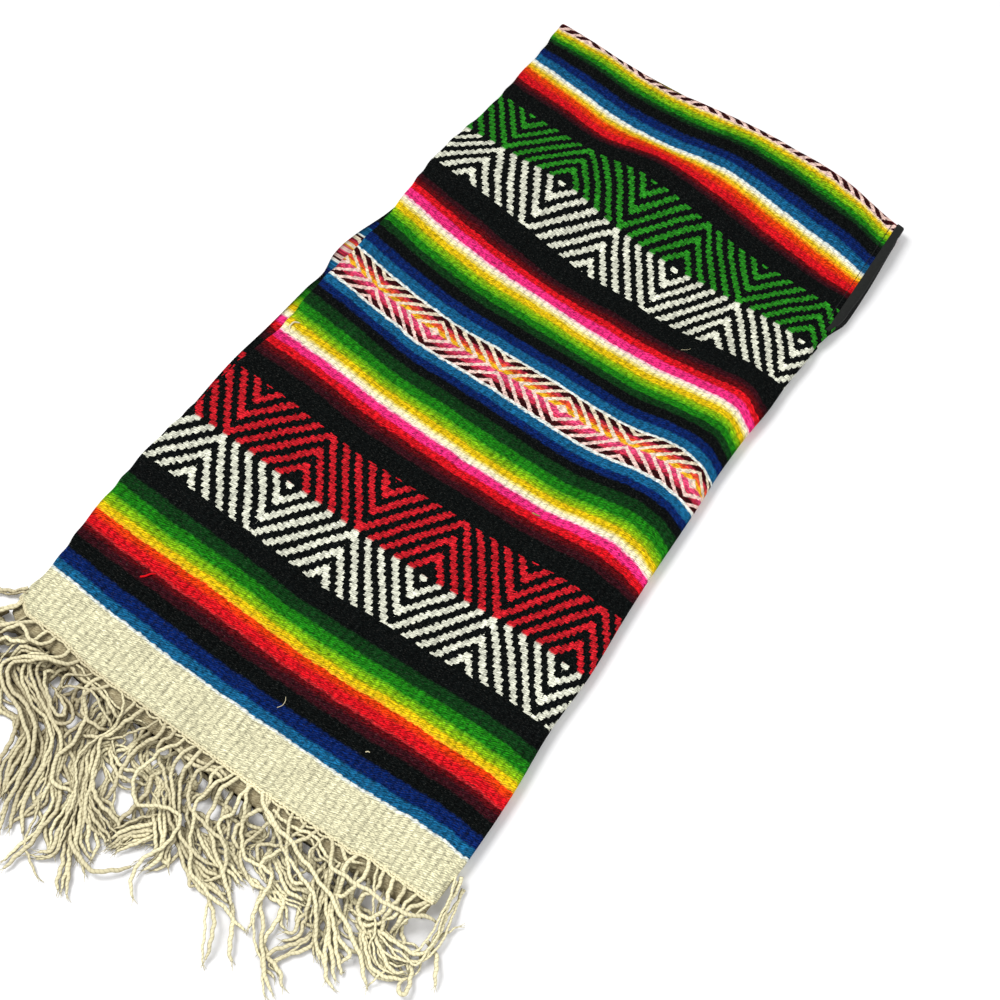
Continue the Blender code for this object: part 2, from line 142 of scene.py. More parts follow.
Section = namedtuple("Section", "along selvedge fold under_selvedge under_fold")
SECTIONS = (
    Section(-20, -3, 347, 1, 345),
    Section(0, -2, 347, 1, 345),
    Section(45, 0, 349, 3, 347),
    Section(90, -6, 349, -3, 347),
    Section(147, -8, 346, -5, 344),
    Section(196, -7, 347.5, -7, 344),
    Section(249, -4, 345, -9, 341),
    Section(290, 1, 344, -7, 342),
    Section(340, 0, 344, -6, 342),
    Section(358, 0, 344, -4.5, 342),
    Section(378, 0.5, 343.5, -9, 342),
    Section(400, 1, 343, -8, 342),
    Section(440, 3, 344, 0, 342),
    Section(475, 1, 347, 3, 345),
    Section(510, -1, 348, 4, 347),
    Section(560, 2, 353, 5, 352),
    Section(590, 4, 357, 7, 358),
    Section(640, 5, 358, 8, 359),
    Section(690, 4, 357, 7, 357),
    Section(725, 1, 357, 6, 356),
)

Fold = namedtuple("Fold", "across along bearing half_length half_width height")
FOLDS = (
    Fold(205, 600, 88, 120, 60, 2.2),
    Fold(300, 320, 86, 210, 40, 2.0),
    Fold(55, 560, 80, 120, 45, 1.2),
    Fold(160, 430, 15, 150, 60, -0.8),
    Fold(45, 190, 98, 140, 38, 1.3),
    Fold(240, 95, 8, 130, 42, 1.0),
)

# How far the weft has wandered, at places across the cloth named for their distance in mm.
Wander = namedtuple("Wander", "row at0 at50 at100 at150 at200 at250 at300 at325 at345")
WANDERS = (
    Wander(-42, 0, 0, 0, 0, 0, 0, 0, 0, 0),
    Wander(0, 0, -2.5, -4.5, -5, -4, -3, 0.5, 1.5, -0.5),
    Wander(45, -0.6, -2.2, -1.3, -2.9, -2.7, 0.1, 1.7, 3, 1.3),
    Wander(104, 1, -1, -2.5, -5, -2.5, -0.5, 3, 2.5, 2),
    Wander(153, 0, -1, -3, -5, -5, -2.5, 1, 0.5, 0),
    Wander(206, 0, -1, -5.5, -5.5, -3.5, -2, 1.5, 0.5, 0),
    Wander(251, 1.5, -0.5, -4.5, -6, -6, -4, 3, 1.5, -6),
    Wander(285, 1.5, -3, -8, -7, -7.8, -6.7, 1.8, 2, -6.5),
    Wander(317, 2, -3.5, -8.8, -7.5, -7, -5.8, 2.2, 1.5, -5),
    Wander(350, 3.7, -3.5, -7.8, -6.3, -3.8, -3.3, 5.5, 4.8, -6),
    Wander(418, 1.5, -7, -12.5, -13.5, -14, -11.5, -4, -2.7, -16),
    Wander(445, 1, -5.5, -12.6, -17.4, -14, -12.8, -4.8, -2.9, -15.3),
    Wander(467, 0, -3, -9.3, -17, -16.5, -16.5, -8, -6.4, -9),
    Wander(516, -1, 0.5, 3.5, -6.5, -13, -11, -6, -5, -7),
    Wander(567, -1.5, -5, -2.5, 4, -3, -10.7, -12, -11.5, -11),
    Wander(590, 0, -3, -6.5, 6, 2.5, -3, -9, -12, -12.5),
    Wander(620, -3.5, -7, -12, -7.5, 1, -3, -9.5, -13, -17.5),
    Wander(671, -4.5, -1.5, -4.5, 1, 10, 11.5, 6.2, 0.5, -6.5),
)
WANDER_PLACES = (0, 50, 100, 150, 200, 250, 300, 325, 345)

# Where six of the warps lie, in mm across. The figures are centred on them.
Marks = namedtuple("Marks", "row one two three four five six")
MARKS = (
    Marks(100, 28, 90.5, 151, 210.5, 269.5, 328.5),
    Marks(205, 28.5, 91, 151, 210.5, 269.5, 328.5),
    Marks(333, 38, 97, 157, 215, 272.5, 330),
    Marks(480, 30, 96, 158, 218.5, 277.5, 337),
    Marks(515, 37, 96, 158.5, 218, 277, 338),
    Marks(565, 37, 97, 157, 218, 277, 338),
    Marks(670, 30, 92, 151, 213, 275, 335),
)
FIRST_MARK, MARK_STEP = 37.5, 60.0
MARKED = tuple(FIRST_MARK + MARK_STEP * n for n in range(6))  # their places in the weave

# How far the hem lies past its straight line: the near corner is rounded, and the far end rises.
Change = namedtuple("Change", "by starts over")
HEM_OUT = 0.9
HEM_CORNER = (Change(7.0, -1, 14), Change(4.5, 38, 34))
HEM_RISE = (Change(2.0, 215, 65), Change(3.6, 283, 10))
SELVEDGE_OUT = (Change(-2.4, 430, 60), Change(-2.0, 660, 30))  # the top layer's, near the shoulder
print("cloth", 2 * HALF_WIDTH, "by", 2 * HALF_LENGTH, "mm, stack", round(STACK, 1), "mm high")

# %% [markdown]
# ## The shape of the lying cloth
#
# Everything that lies on the cloth, or under it, takes its height from the same few functions, so
# that the pieces nest. A smooth curve through a table's rows gives each value in between.

# %% Shape functions


def smooth(value):
    value = np.clip(value, 0.0, 1.0)
    return value * value * (3 - 2 * value)


def mix(a, b, share):
    return a + (b - a) * share


def between(places, place):
    """Which of the places each given one comes after, and how far on to the next it is."""
    place = np.clip(place, places[0], places[-1])
    i = np.clip(np.searchsorted(places, place) - 1, 0, len(places) - 2)
    return i, (place - places[i]) / (places[i + 1] - places[i])


def curved(before, here, there, after, share):
    """The value a share of the way from here to there, on a curve that suits its neighbours."""
    slope_in, slope_out = (there - before) / 2, (after - here) / 2
    bend = 2 * here - 2 * there + slope_in + slope_out
    lean = 3 * there - 3 * here - 2 * slope_in - slope_out
    return here + share * (slope_in + share * (lean + share * bend))


def changed(value, changes, at):
    """The value after each change that comes before this place, or the part of it that has come."""
    for each in changes:
        value = value + each.by * smooth((at - each.starts) / each.over)
    return value


def from_rows(rows, key, column, place):
    """The column's value at each place, on a smooth curve through the rows."""
    places = np.array([getattr(row, key) for row in rows], float)
    values = np.array([getattr(row, column) for row in rows], float)
    i, share = between(places, place)
    near = [values[np.clip(i + step, 0, len(values) - 1)] for step in (-1, 0, 1, 2)]
    return curved(*near, share)


def edge(column, along):
    return from_rows(SECTIONS, "along", column, along)


def bump(fold, x, y):
    turn = math.radians(fold.bearing)
    dx, dy = x - fold.across, y - fold.along
    lengthwise = (dx * math.cos(turn) + dy * math.sin(turn)) / fold.half_length
    sideways = (dy * math.cos(turn) - dx * math.sin(turn)) / fold.half_width
    crest = np.cos(np.clip(lengthwise, -1, 1) * math.pi / 2)
    crest = crest * np.cos(np.clip(sideways, -1, 1) * math.pi / 2)
    return fold.height * crest * crest


def slit_open(along):
    return smooth((along - SLIT_END + CURL_RUN) / CURL_RUN)


def stack_height(x, along):
    puff = SHOULDER_PUFF * smooth((along - PUFF_FROM) / (PUFF_TO - PUFF_FROM))
    settled = 1 - smooth((along - PUFF_TO + RIDGES_FADE) / RIDGES_FADE)
    ridges = sum(bump(fold, x, along) for fold in FOLDS) * settled
    swell_from = edge("fold", along) - SWELL_WIDTH
    swell = FOLD_SWELL * smooth((x - swell_from) / SWELL_WIDTH) * (1 - slit_open(along))
    return STACK + puff + ridges * smooth(along / HEM_FADE) + swell


def bowed(x, along):
    away = np.minimum(1.0, np.abs(x - BOW_MIDDLE) / BOW_HALF)
    bow = STRETCH + BOW * np.cos(away * math.pi / 2) ** 2
    bow = bow + np.interp(x, SHOULDER_AT, SHOULDER_MORE)
    return along + bow * smooth((along - BOW_FROM) / (HALF_LENGTH - BOW_FROM))


def hem_line(x):
    """How far the hem lies past its straight line."""
    corner = sum(each.by * (1 - smooth((x - each.starts) / each.over)) for each in HEM_CORNER)
    return changed(corner + HEM_OUT, HEM_RISE, x)


def hemmed(x, y, inside):
    """The place y, moved by the hem's own line, which fades with the distance inside the cloth."""
    return y + hem_line(x) * (1 - smooth(inside / HEM_FADE))


def wander(x, row):
    """How far the weft of this row lies from level, at x."""
    at = [from_rows(WANDERS, "row", f"at{place}", row) for place in WANDER_PLACES]
    at = np.stack(np.broadcast_arrays(*at))
    i, share = between(np.array(WANDER_PLACES, float), x)
    near = [np.clip(i + step, 0, len(at) - 1) for step in (-1, 0, 1, 2)]
    return curved(*(np.take_along_axis(at, n[None], 0)[0] for n in near), share)


def weave_row(x, y):
    """The woven row that lies at x, y, in mm from the first dyed stripe."""
    row = y - CREAM
    for _ in range(4):
        row = y - CREAM - wander(x, row)
    return row


def weave_across(x, along):
    """The place across the weave at x, found between the marked warps, in mm."""
    at = [float(from_rows(MARKS, "row", mark, along - CREAM)) for mark in Marks._fields[1:]]
    first, last = (at[1] - at[0]) / MARK_STEP, (at[-1] - at[-2]) / MARK_STEP
    beyond = MARK_STEP / 2
    at = [at[0] - FIRST_MARK * first, *at, at[-1] + beyond * last]
    return np.interp(x, at, [0, *MARKED, MARKED[-1] + beyond])


print("height at the middle:", round(float(stack_height(170.0, 350.0)), 2), "mm")

# %% [markdown]
# ## Meshes from rings
#
# Each sheet is a row of rings, as a basket is. numpy holds the points of all rings at once, and one
# helper turns them into a mesh with a UV map. That map isn't a picture's: it holds each point's
# place in the weave, across and along, in metres, and the yarn patterns are drawn from it.

# %% Mesh helper
TIP = 9.0  # mm over which a cord narrows to its tip


def to_frame(points):
    points = np.asarray(points, float).copy()
    points[..., 0] -= HALF_WIDTH / 2
    points[..., 1] -= HALF_LENGTH / 2
    return points * MM


def build(name, points, faces, weave, sharp=None):
    """An object from points in mm and faces, with the points' places in the weave as a UV map."""
    mesh = bpy.data.meshes.new(name)
    mesh.from_pydata(to_frame(points).tolist(), [], [list(face) for face in faces])
    mesh.validate()
    layer = mesh.uv_layers.new(name="weave")
    corners = np.empty(len(mesh.loops), np.int32)
    mesh.loops.foreach_get("vertex_index", corners)
    layer.uv.foreach_set("vector", (weave[corners] * MM).astype(np.float32).ravel())
    mesh.shade_smooth()
    if sharp:
        mesh.set_sharp_from_angle(angle=math.radians(sharp))
    obj = bpy.data.objects.new(name, mesh)
    bpy.context.scene.collection.objects.link(obj)
    return obj


def skin(rings, weaves, cap):
    """Points, faces and weave places of a skin over rings, closed by the cap's faces at each end.

    Its quads face outwards where a ring runs left to right on top.
    """
    size = len(rings[0])
    here = np.arange(size)
    there = (here + 1) % size
    start = np.arange(len(rings) - 1)[:, None] * size
    quads = np.stack([here + start, there + start, there + start + size, here + start + size], -1)
    faces = quads.reshape(-1, 4).tolist()
    for base, flip in ((0, True), ((len(rings) - 1) * size, False)):
        for face in cap:
            face = [base + n for n in face]
            faces.append(face[::-1] if flip else face)
    return np.concatenate(rings), faces, np.concatenate(weaves)


def folded_cap(half, last):
    """A cap's quads across a ring whose first half lies over its second, from both ends inwards."""
    return [(i, i + 1, last - i - 1, last - i) for i in range(half - 1)]


def run_of(points):
    """How far along a row of flat points each one lies."""
    return np.concatenate([[0], np.cumsum(np.hypot(*np.diff(points, axis=0).T))])


def tube(path, radius, sides, taper=0.6, turns=0):
    """Points, faces and weave places (round, along) of a tube, closed at both ends.

    It narrows to the taper over its last few mm, and turns is added to its places round.
    """
    run = np.gradient(path, axis=0)
    run /= np.linalg.norm(run, axis=1)[:, None]
    side = np.cross(run, (0, 0, 1.0))
    side /= np.linalg.norm(side, axis=1)[:, None]
    up = np.cross(side, run)
    length = np.concatenate([[0], np.cumsum(np.linalg.norm(np.diff(path, axis=0), axis=1))])
    width = radius * np.minimum(1, mix(taper, 1, (length[-1] - length) / TIP))
    a = np.linspace(0, 2 * math.pi, sides, endpoint=False)
    ring = side[:, None] * np.cos(a)[:, None] + up[:, None] * np.sin(a)[:, None]
    points = path[:, None] + ring * width[:, None, None]
    round_ = np.broadcast_to(np.arange(sides) / sides, (len(path), sides)) + turns
    weave = np.stack([round_ * 100, np.broadcast_to(length[:, None], round_.shape)], -1)
    return skin(points, weave, [range(sides)])


def join_tubes(name, tubes, sharp=None):
    points, faces, weaves, start = [], [], [], 0
    for tube_points, tube_faces, weave in tubes:
        points.append(tube_points)
        faces += [[start + n for n in face] for face in tube_faces]
        weaves.append(weave)
        start += len(tube_points)
    return build(name, np.concatenate(points), faces, np.concatenate(weaves), sharp)


# %% [markdown]
# ## The top quarter
#
# The quarter that shows is one sheet: it rolls under along the lengthwise fold, ends flat inside
# the binding along the slit, and turns down round the shoulder fold. Its edges are rounded, because
# the weft turns back there.

# %% Top quarter
FLAT_COLUMNS, CURL_COLUMNS, TOP_ROWS, TURN_ROWS = 118, 14, 236, 14
EDGE_STEPS = [math.radians(degrees) for degrees in (45, 90, 135)]


def cockle(x, y):
    """The slight unevenness of hand-woven cloth that lies unpressed."""
    wave = np.sin(x / 13.0 + 1.3 * np.sin(y / 31.0)) * np.sin(y / 17.0 + 0.8 * np.sin(x / 23.0))
    return 0.22 * wave + 0.18 * np.sin(x / 41.0 + y / 29.0 + 2.0)


def edge_ripple(along):
    """How far the selvedge wanders in and out from pick to pick."""
    return 0.45 * np.sin(along / 4.1 + np.sin(along / 9.7)) + 0.5 * np.sin(along / 15.3 + 1.0)


def top_start(along):
    """Where the flat part of the top layer ends, beside the fold or the slit."""
    opened = slit_open(along)
    outer = edge("fold", along) - opened * (TAPE + SEAM + 0.8)
    quarter = np.radians(np.minimum(90.0, 180.0 * (1 - opened)))
    return outer - CURL_RADIUS * np.sin(quarter) - FLAT_END * opened


def top_section(along):
    """The top layer across the garment: (x, z, weave across) of its upper and lower faces."""
    opened = slit_open(along)
    angle = 180.0 * (1 - opened)
    start = top_start(along)
    near = changed(edge("selvedge", along), SELVEDGE_OUT, along)
    x = mix(near + 0.8 + edge_ripple(along), start, np.linspace(0, 1, FLAT_COLUMNS))
    z = stack_height(x, along) + cockle(x, along) * smooth((x - near) / 20) * smooth(along / 30)
    upper = np.stack([x, z], -1)
    lower = np.stack([x, z - SHELL], -1)
    across = weave_across(x, along)
    height = z[-1]
    radius = (height - LEVEL_3) / 2 if angle > 90 else CURL_RADIUS
    share = np.arange(1, CURL_COLUMNS + 1) / CURL_COLUMNS
    turn = np.radians(angle) * share
    tail = mix(0.3, FLAT_END, opened) * share
    tail[-1] += CURL_TAIL * smooth((angle - 165) / 15)
    curls = []
    for depth in (0.0, SHELL):
        curl_x = start + (radius - depth) * np.sin(turn) + tail * np.cos(turn)
        curl_z = height - radius + (radius - depth) * np.cos(turn) - tail * np.sin(turn)
        curls.append(np.stack([curl_x, curl_z], -1))
    across = np.concatenate([across, across[-1] + radius * turn + tail])
    return np.concatenate([upper, curls[0]]), np.concatenate([lower, curls[1]]), across


def rounded(upper, lower, across, bulge=0.8):
    """One ring from both faces, with a rounded edge at each end, and its places in the weave."""
    ends = []
    for this, inner in ((-1, -2), (0, 1)):
        middle = (upper[this] + lower[this]) / 2
        out = middle - (upper[inner] + lower[inner]) / 2
        out /= np.linalg.norm(out)
        side = (upper[this] - lower[this]) / 2
        ends.append([middle + side * math.cos(a) + out * bulge * math.sin(a) for a in EDGE_STEPS])
    ring = np.concatenate([upper, ends[0], lower[::-1], ends[1][::-1]])
    far, near = across[-1] + bulge, across[0] - bulge
    edge_points = len(EDGE_STEPS)
    weave = np.concatenate([across, [far] * edge_points, across[::-1], [near] * edge_points])
    return ring, weave


def turned(x, z, degrees):
    """Points of the flat cloth at TURN_START, carried round the shoulder fold."""
    turn = math.radians(degrees)
    arm = z - SHOULDER_RADIUS
    y = bowed(x, TURN_START) + arm * math.sin(turn)
    return np.stack([x, y, np.maximum(SHOULDER_RADIUS + arm * math.cos(turn), 0.05)], -1)


# Ends and loops of weft that stand off the cloth: the row that the yarn is from, its radius, and
# the places (across, row, height) that it passes.
Loose = namedtuple("Loose", "dyed radius points")
LOOSE = (
    Loose(414, 0.75, ((10, 252, -0.4), (7, 256, 0.9), (7.5, 261, 1.3), (11, 264, -0.4))),
    Loose(43, 0.8, ((53, 31, -0.3), (56, 33, 1.3), (57.5, 36, 1.4), (60, 39, -0.3))),
    Loose(414, 0.5, ((252, 20.4, 0.4), (253.2, 21.4, 0.9), (254.4, 21.6, 0.4))),
    Loose(414, 0.22, ((186, 13, 0.1), (188.4, 16, 1.4), (188, 19.5, 1.6), (186.2, 22, 0.4))),
    Loose(257, 0.6, ((245, 242.6, -0.2), (248, 242.2, 0.7), (251, 243.4, -0.2))),
    Loose(414, 0.14, ((262, 447, 0.1), (266, 449, 1.0), (268, 453, 0.3))),
)


def loose_yarns():
    yarns = []
    for dyed, radius, points in LOOSE:
        x, row, lift = np.array(points).T
        y = row + CREAM + wander(x, row)
        z = stack_height(x, y) + cockle(x, y) + lift
        t = np.linspace(0, len(x) - 1, 14)
        path = np.column_stack([np.interp(t, np.arange(len(x)), line) for line in (x, y, z)])
        path[1:-1] = (path[:-2] + 2 * path[1:-1] + path[2:]) / 4
        points, faces, weave = tube(path, radius, 6, 0.8)
        yarns.append((points, faces, np.full(weave.shape, (3.0, dyed))))
    return yarns


def make_cloth_top():
    rings, weaves = [], []
    for along in np.linspace(0.0, TURN_START, TOP_ROWS):
        ring, across = rounded(*top_section(along))
        y = hemmed(ring[:, 0], bowed(ring[:, 0], along), along)
        rings.append(np.column_stack([ring[:, 0], y, ring[:, 1]]))
        weaves.append(np.column_stack([across, weave_row(ring[:, 0], y)]))
    flat, across = rounded(*top_section(TURN_START))
    y = bowed(flat[:, 0], TURN_START)
    for step in range(1, TURN_ROWS + 1):
        degrees = 180.0 * step / TURN_ROWS
        rings.append(turned(flat[:, 0], flat[:, 1], degrees))
        arc = y + SHOULDER_RADIUS * math.radians(degrees)
        weaves.append(np.column_stack([across, weave_row(flat[:, 0], arc)]))
    tail = rings[-1] - (0, SHOULDER_TAIL, 0)
    rings.append(tail)
    weaves.append(weaves[-1] + (0, SHOULDER_TAIL))
    half = FLAT_COLUMNS + CURL_COLUMNS
    cloth = skin(rings, weaves, folded_cap(half, 2 * half + len(EDGE_STEPS) - 1))
    return join_tubes("cloth_top_weave", [cloth, *loose_yarns()])


cloth_top = make_cloth_top()
print("top quarter:", len(cloth_top.data.polygons), "faces")

# %% [markdown]
# ## The hidden layers
#
# The other three quarters are one rounded body here, grooved where the layers part. Its top face
# shows in a strip beside the selvedge and past the hem, and its underside is the back of the
# garment, so all of it carries the weave.

# %% Hidden layers
UNDER_COLUMNS, UNDER_ROWS = 60, 190
LAYER_SHIFTS = (-13.0, -4.0, 2.0)  # how far each hidden layer's rows lie from the top one's
EDGE_ROLL, GROOVE = 1.5, 1.8  # how far a layer's edge stands out, and the groove below it goes in
FOLD_ROLL = 2.9  # the same for the hidden fold


def layer_levels(top, floor):
    """The heights of the hidden layers' faces, from the top one's down."""
    levels = (top, LEVEL_3 - SEAM / 2, LEVEL_2 - SEAM / 2, 0.0)
    return [max(level, floor + 0.02 * (3 - n)) for n, level in enumerate(levels)]


def layered_edge(x, levels, out, along):
    """Points down the edges of stacked layers: each one a small roll, with a groove between."""
    profile, shifts = [], []
    for n, (top, low) in enumerate(zip(levels, levels[1:])):
        middle, half = (top + low) / 2, (top - low) / 2
        reach = 0.9 * math.sin(along / (37.0 + 9 * n) + 2.1 * n) + (0.8 * n - 0.8)
        for degrees in (80, 50, 20, -20, -50, -80):
            a = math.radians(degrees)
            profile.append((x + out * (reach + EDGE_ROLL * math.cos(a)), middle + half * math.sin(a)))
            shifts.append(LAYER_SHIFTS[n])
        if n < 2:
            profile.append((x - out * GROOVE, low))
            shifts.append(LAYER_SHIFTS[n])
    return np.array(profile), np.array(shifts)


def under_section(along, floor):
    """The hidden layers across the garment: (x, z, weave across, row shift)."""
    hidden = CURL_RADIUS + CURL_TAIL + 0.8 + 4 * SEAM
    opened = smooth((along - SLIT_END - 8) / 20)
    beside_tape = TAPE_INNER - SEAM
    near = edge("under_selvedge", along)
    inner = mix(edge("fold", along) - hidden, beside_tape, opened)
    far = mix(edge("under_fold", along), beside_tape, smooth((along - SLIT_END + 14) / 10))
    x = mix(near, inner, np.linspace(0, 1, UNDER_COLUMNS))
    z = stack_height(np.clip(x, 0, None), max(along, 0.0)) - CLOTH - SEAM
    top = float(z[-1])
    a = np.radians(np.linspace(90, -90, 12))
    roll_x = far - FOLD_ROLL + FOLD_ROLL * np.cos(a)
    roll_z = (LEVEL_3 - SEAM) / 2 * (1 + np.sin(a))
    fold = np.column_stack([np.concatenate([[inner] * 2, roll_x]), np.zeros(14)])
    fold[:, 1] = np.concatenate([[LEVEL_3 + 1.6, LEVEL_3 - SEAM + 0.01], roll_z])
    flat = np.column_stack([np.full(14, inner), np.linspace(top - 0.3, floor + 0.3, 14)])
    far_side = mix(fold, flat, opened)
    far_side[:, 1] = np.maximum(far_side[:, 1], floor + 0.02)
    low_x = np.linspace(mix(far - FOLD_ROLL, inner, opened), near, UNDER_COLUMNS)
    side, shifts = layered_edge(near + 1.0, layer_levels(float(z[0]), floor), -1.0, along)
    side, shifts = side[::-1], shifts[::-1]
    ring = np.concatenate([np.column_stack([x, z]), far_side])
    ring = np.concatenate([ring, np.column_stack([low_x, np.full(UNDER_COLUMNS, floor)]), side])
    across = weave_across(ring[:, 0], along)
    shift = np.full(len(ring), LAYER_SHIFTS[0])
    shift[UNDER_COLUMNS + 8 :] = LAYER_SHIFTS[2]
    shift[-len(side) :] = shifts
    return ring, across, shift


def make_cloth_under():
    rings, weaves = [], []

    def add_ring(along, floor, shrink=None):
        ring, across, shift = under_section(along, floor)
        x, z = ring[:, 0], ring[:, 1]
        y = hemmed(x, bowed(x, along), along - UNDER_HEM)
        if shrink is not None:
            radius, degrees = shrink
            turn = math.radians(degrees)
            share = (z - SHOULDER_RADIUS) / (z[0] - SHOULDER_RADIUS)
            y = y + radius * math.sin(turn)
            z = SHOULDER_RADIUS + share * radius * math.cos(turn)
        rings.append(np.column_stack([x, y, z]))
        weaves.append(np.column_stack([across, weave_row(x, y) + shift]))

    for step in (-0.9, -0.6, 0.0):
        add_ring(UNDER_HEM, 0.0)
        squeeze = 1 - 0.25 * abs(step)
        rings[-1] = rings[-1] * (1, 1, squeeze) + (0, step * 1.2, 0.2 * abs(step))
    for along in np.linspace(UNDER_HEM, TAIL_START, UNDER_ROWS)[1:]:
        add_ring(float(along), 0.0)
    add_ring(TAIL_START, LEVEL_2)
    radius = SHOULDER_RADIUS - CLOTH - SEAM
    for degrees in (0, 25, 50, 70, 82):
        add_ring(TURN_START, SHOULDER_RADIUS - radius, (radius, degrees))
    return build("cloth_under_weave", *skin(rings, weaves, [range(len(rings[0]))]))


cloth_under = make_cloth_under()
print("hidden layers:", len(cloth_under.data.polygons), "faces")

# %% [markdown]
# ## The binding of the slit
#
# A black cotton tape, folded in half lengthwise, wraps each raw edge of the slit and is stitched
# down. On the top layer it is drawn as a U in section. The three hidden edges lie stacked below.

# %% Binding tape
TAPE_ROWS, TAPE_TURN_ROWS, TAPE_TURN = 60, 11, 140.0  # the tape ends part of the way round the fold
STITCH, STITCH_GAP = 3.0, 0.3
STITCH_DIP = np.array([0.35, 0, -0.1, 0, 0.35])  # how deep the thread lies, from end to end


def oval(x, z, wide, high, degrees):
    """Points on an ellipse about x, z, at these angles from its right-hand side."""
    turns = [math.radians(a) for a in degrees]
    return [(x + wide * math.cos(turn), z + high * math.sin(turn)) for turn in turns]


def seam_stitches():
    """The black thread that shows on the cloth beside the tape, drawn down between stitches."""
    stitches = []
    for start in np.arange(SLIT_END + 6, TURN_START - 2, STITCH + STITCH_GAP):
        along = np.linspace(start, start + STITCH, len(STITCH_DIP))
        x = np.full(len(STITCH_DIP), TAPE_INNER - 3.8)
        z = stack_height(x, along) + cockle(x, along) + 0.1 - STITCH_DIP
        stitches.append(tube(np.column_stack([x, bowed(x, along), z]), 0.32, 5, 1.0))
    return stitches


def make_tape_top():
    rings, weaves = [], []

    def section(along, z):
        out = float(edge("fold", along)) - 2.5 * (1 - smooth((along - SLIT_END) / 22))
        out += 0.35 * math.sin(along / 7.0)
        upper, lower = z + SEAM + TAPE, z - CLOTH - SEAM - TAPE
        middle, half = (upper + lower) / 2, (upper - lower) / 2
        points = [(TAPE_INNER, upper - 0.35), (TAPE_INNER + 0.25, upper), (out - 4, upper + 0.1)]
        points += oval(out - 1.7, middle, 1.7, half, range(90, -91, -20))
        points += [(TAPE_INNER, lower), (TAPE_INNER, lower + TAPE)]
        points += oval(out - 2.2, middle, 1.2, half - TAPE, range(-90, 91, 30))
        points.append((TAPE_INNER, upper - TAPE))
        return np.array(points)

    length = 0.0
    for along in np.linspace(SLIT_END, TURN_START, TAPE_ROWS):
        start = float(top_start(along)) + 2
        points = section(along, float(stack_height(start, along)))
        rings.append(np.column_stack([points[:, 0], bowed(points[:, 0], along), points[:, 1]]))
        length = along - SLIT_END
        weaves.append(np.column_stack([run_of(points), np.full(len(points), length)]))
    flat = section(TURN_START, 2 * SHOULDER_RADIUS)
    for step in range(1, TAPE_TURN_ROWS + 1):
        degrees = TAPE_TURN * step / TAPE_TURN_ROWS
        rings.append(turned(flat[:, 0], flat[:, 1], degrees))
        arc = length + SHOULDER_RADIUS * math.radians(degrees)
        weaves.append(np.column_stack([weaves[0][:, 0], np.full(len(flat), arc)]))
    tape = skin(rings, weaves, folded_cap(len(flat) // 2, len(flat) - 1))
    return join_tubes("neck_binding_top", [tape, *seam_stitches()], sharp=50)


def make_tape_under():
    rings, weaves = [], []
    lift = CLOTH + 2 * SEAM + TAPE

    def section(along, floor):
        far = float(edge("under_fold", along)) - 3.0 * (1 - smooth((along - SLIT_END) / 22))
        far += 1.8 * (smooth((along - 585) / 15) - smooth((along - 690) / 15))
        roof = float(stack_height(top_start(along) + 2, along)) - lift
        side, _ = layered_edge(far - 2.4, layer_levels(roof, floor), 1.0, along + 40)
        upper = [(TAPE_INNER, roof), (mix(TAPE_INNER, far - 1.6, 0.5), roof)]
        lower = [(mix(TAPE_INNER, far - 1.6, 0.5), floor), (TAPE_INNER, floor)]
        return np.concatenate([upper, side, lower])

    def add_ring(points, y, along):
        rings.append(np.column_stack([points[:, 0], y, points[:, 1]]))
        weaves.append(np.column_stack([run_of(points), np.full(len(points), along - SLIT_END)]))

    for along in np.linspace(SLIT_END, TAIL_START, TAPE_ROWS):
        points = section(along, 0.0)
        add_ring(points, bowed(points[:, 0], along), along)
    points = section(TAIL_START, LEVEL_2)
    add_ring(points, bowed(points[:, 0], TAIL_START), TAIL_START)
    flat = section(TURN_START, lift)
    radius = SHOULDER_RADIUS - lift
    share = (flat[:, 1] - SHOULDER_RADIUS) / (flat[0, 1] - SHOULDER_RADIUS)
    for degrees in (0, 30, 55, 78):
        turn = math.radians(degrees)
        z = SHOULDER_RADIUS + share * radius * math.cos(turn)
        y = bowed(flat[:, 0], TURN_START) + radius * math.sin(turn)
        add_ring(np.column_stack([flat[:, 0], z]), y, TURN_START)
    return build("neck_binding_under", *skin(rings, weaves, [range(len(flat))]))


tape_top, tape_under = make_tape_top(), make_tape_under()
print("bindings:", len(tape_top.data.polygons) + len(tape_under.data.polygons), "faces")

# %% [markdown]
# ## Colours and nodes
#
# A colour is written here as a screen shows it, in sRGB hex, and one function turns it into the
# linear values that a shader computes with. A second small function adds a node, with its settings
# and links. A node is named by its kind and, after a dot, by what it works out.

# %% Colour and node helpers
YARNS = {
    "ecru": "#DED9B4",
    "white": "#F6EBC2",
    "snow": "#E4ECE4",
    "azure": "#135880",
    "navy": "#061E56",
    "black": "#070A0A",
    "wine": "#300B13",
    "maroon": "#58070D",
    "red": "#CB121C",
    "rose": "#B3252A",
    "vermilion": "#DB3809",
    "orange": "#F4B422",
    "tangerine": "#E9740B",
    "yellow": "#DBB80F",
    "butter": "#ECD876",
    "chartreuse": "#92A90C",
    "lime": "#79AC10",
    "grass": "#559D14",
    "green": "#1A7210",
    "bottle": "#0B3311",
    "pink": "#E62B76",
    "blush": "#F5C5CD",
    "ivory": "#DADBC8",
    "brick": "#BA1A24",
    "leaf": "#247E1C",
    "petal": "#F0CCC0",
    "umber": "#30090C",
    "garnet": "#7A1A24",
    "cream": "#E9D7BB",
    "crimson": "#B22A40",
    "raspberry": "#D8456F",
    "amber": "#EBAE1E",
    "rust": "#D24A28",
}


def linear(hexes):
    parts = [int(hexes[i : i + 2], 16) / 255 for i in (1, 3, 5)]
    return [c / 12.92 if c <= 0.04045 else ((c + 0.055) / 1.055) ** 2.4 for c in parts] + [1.0]


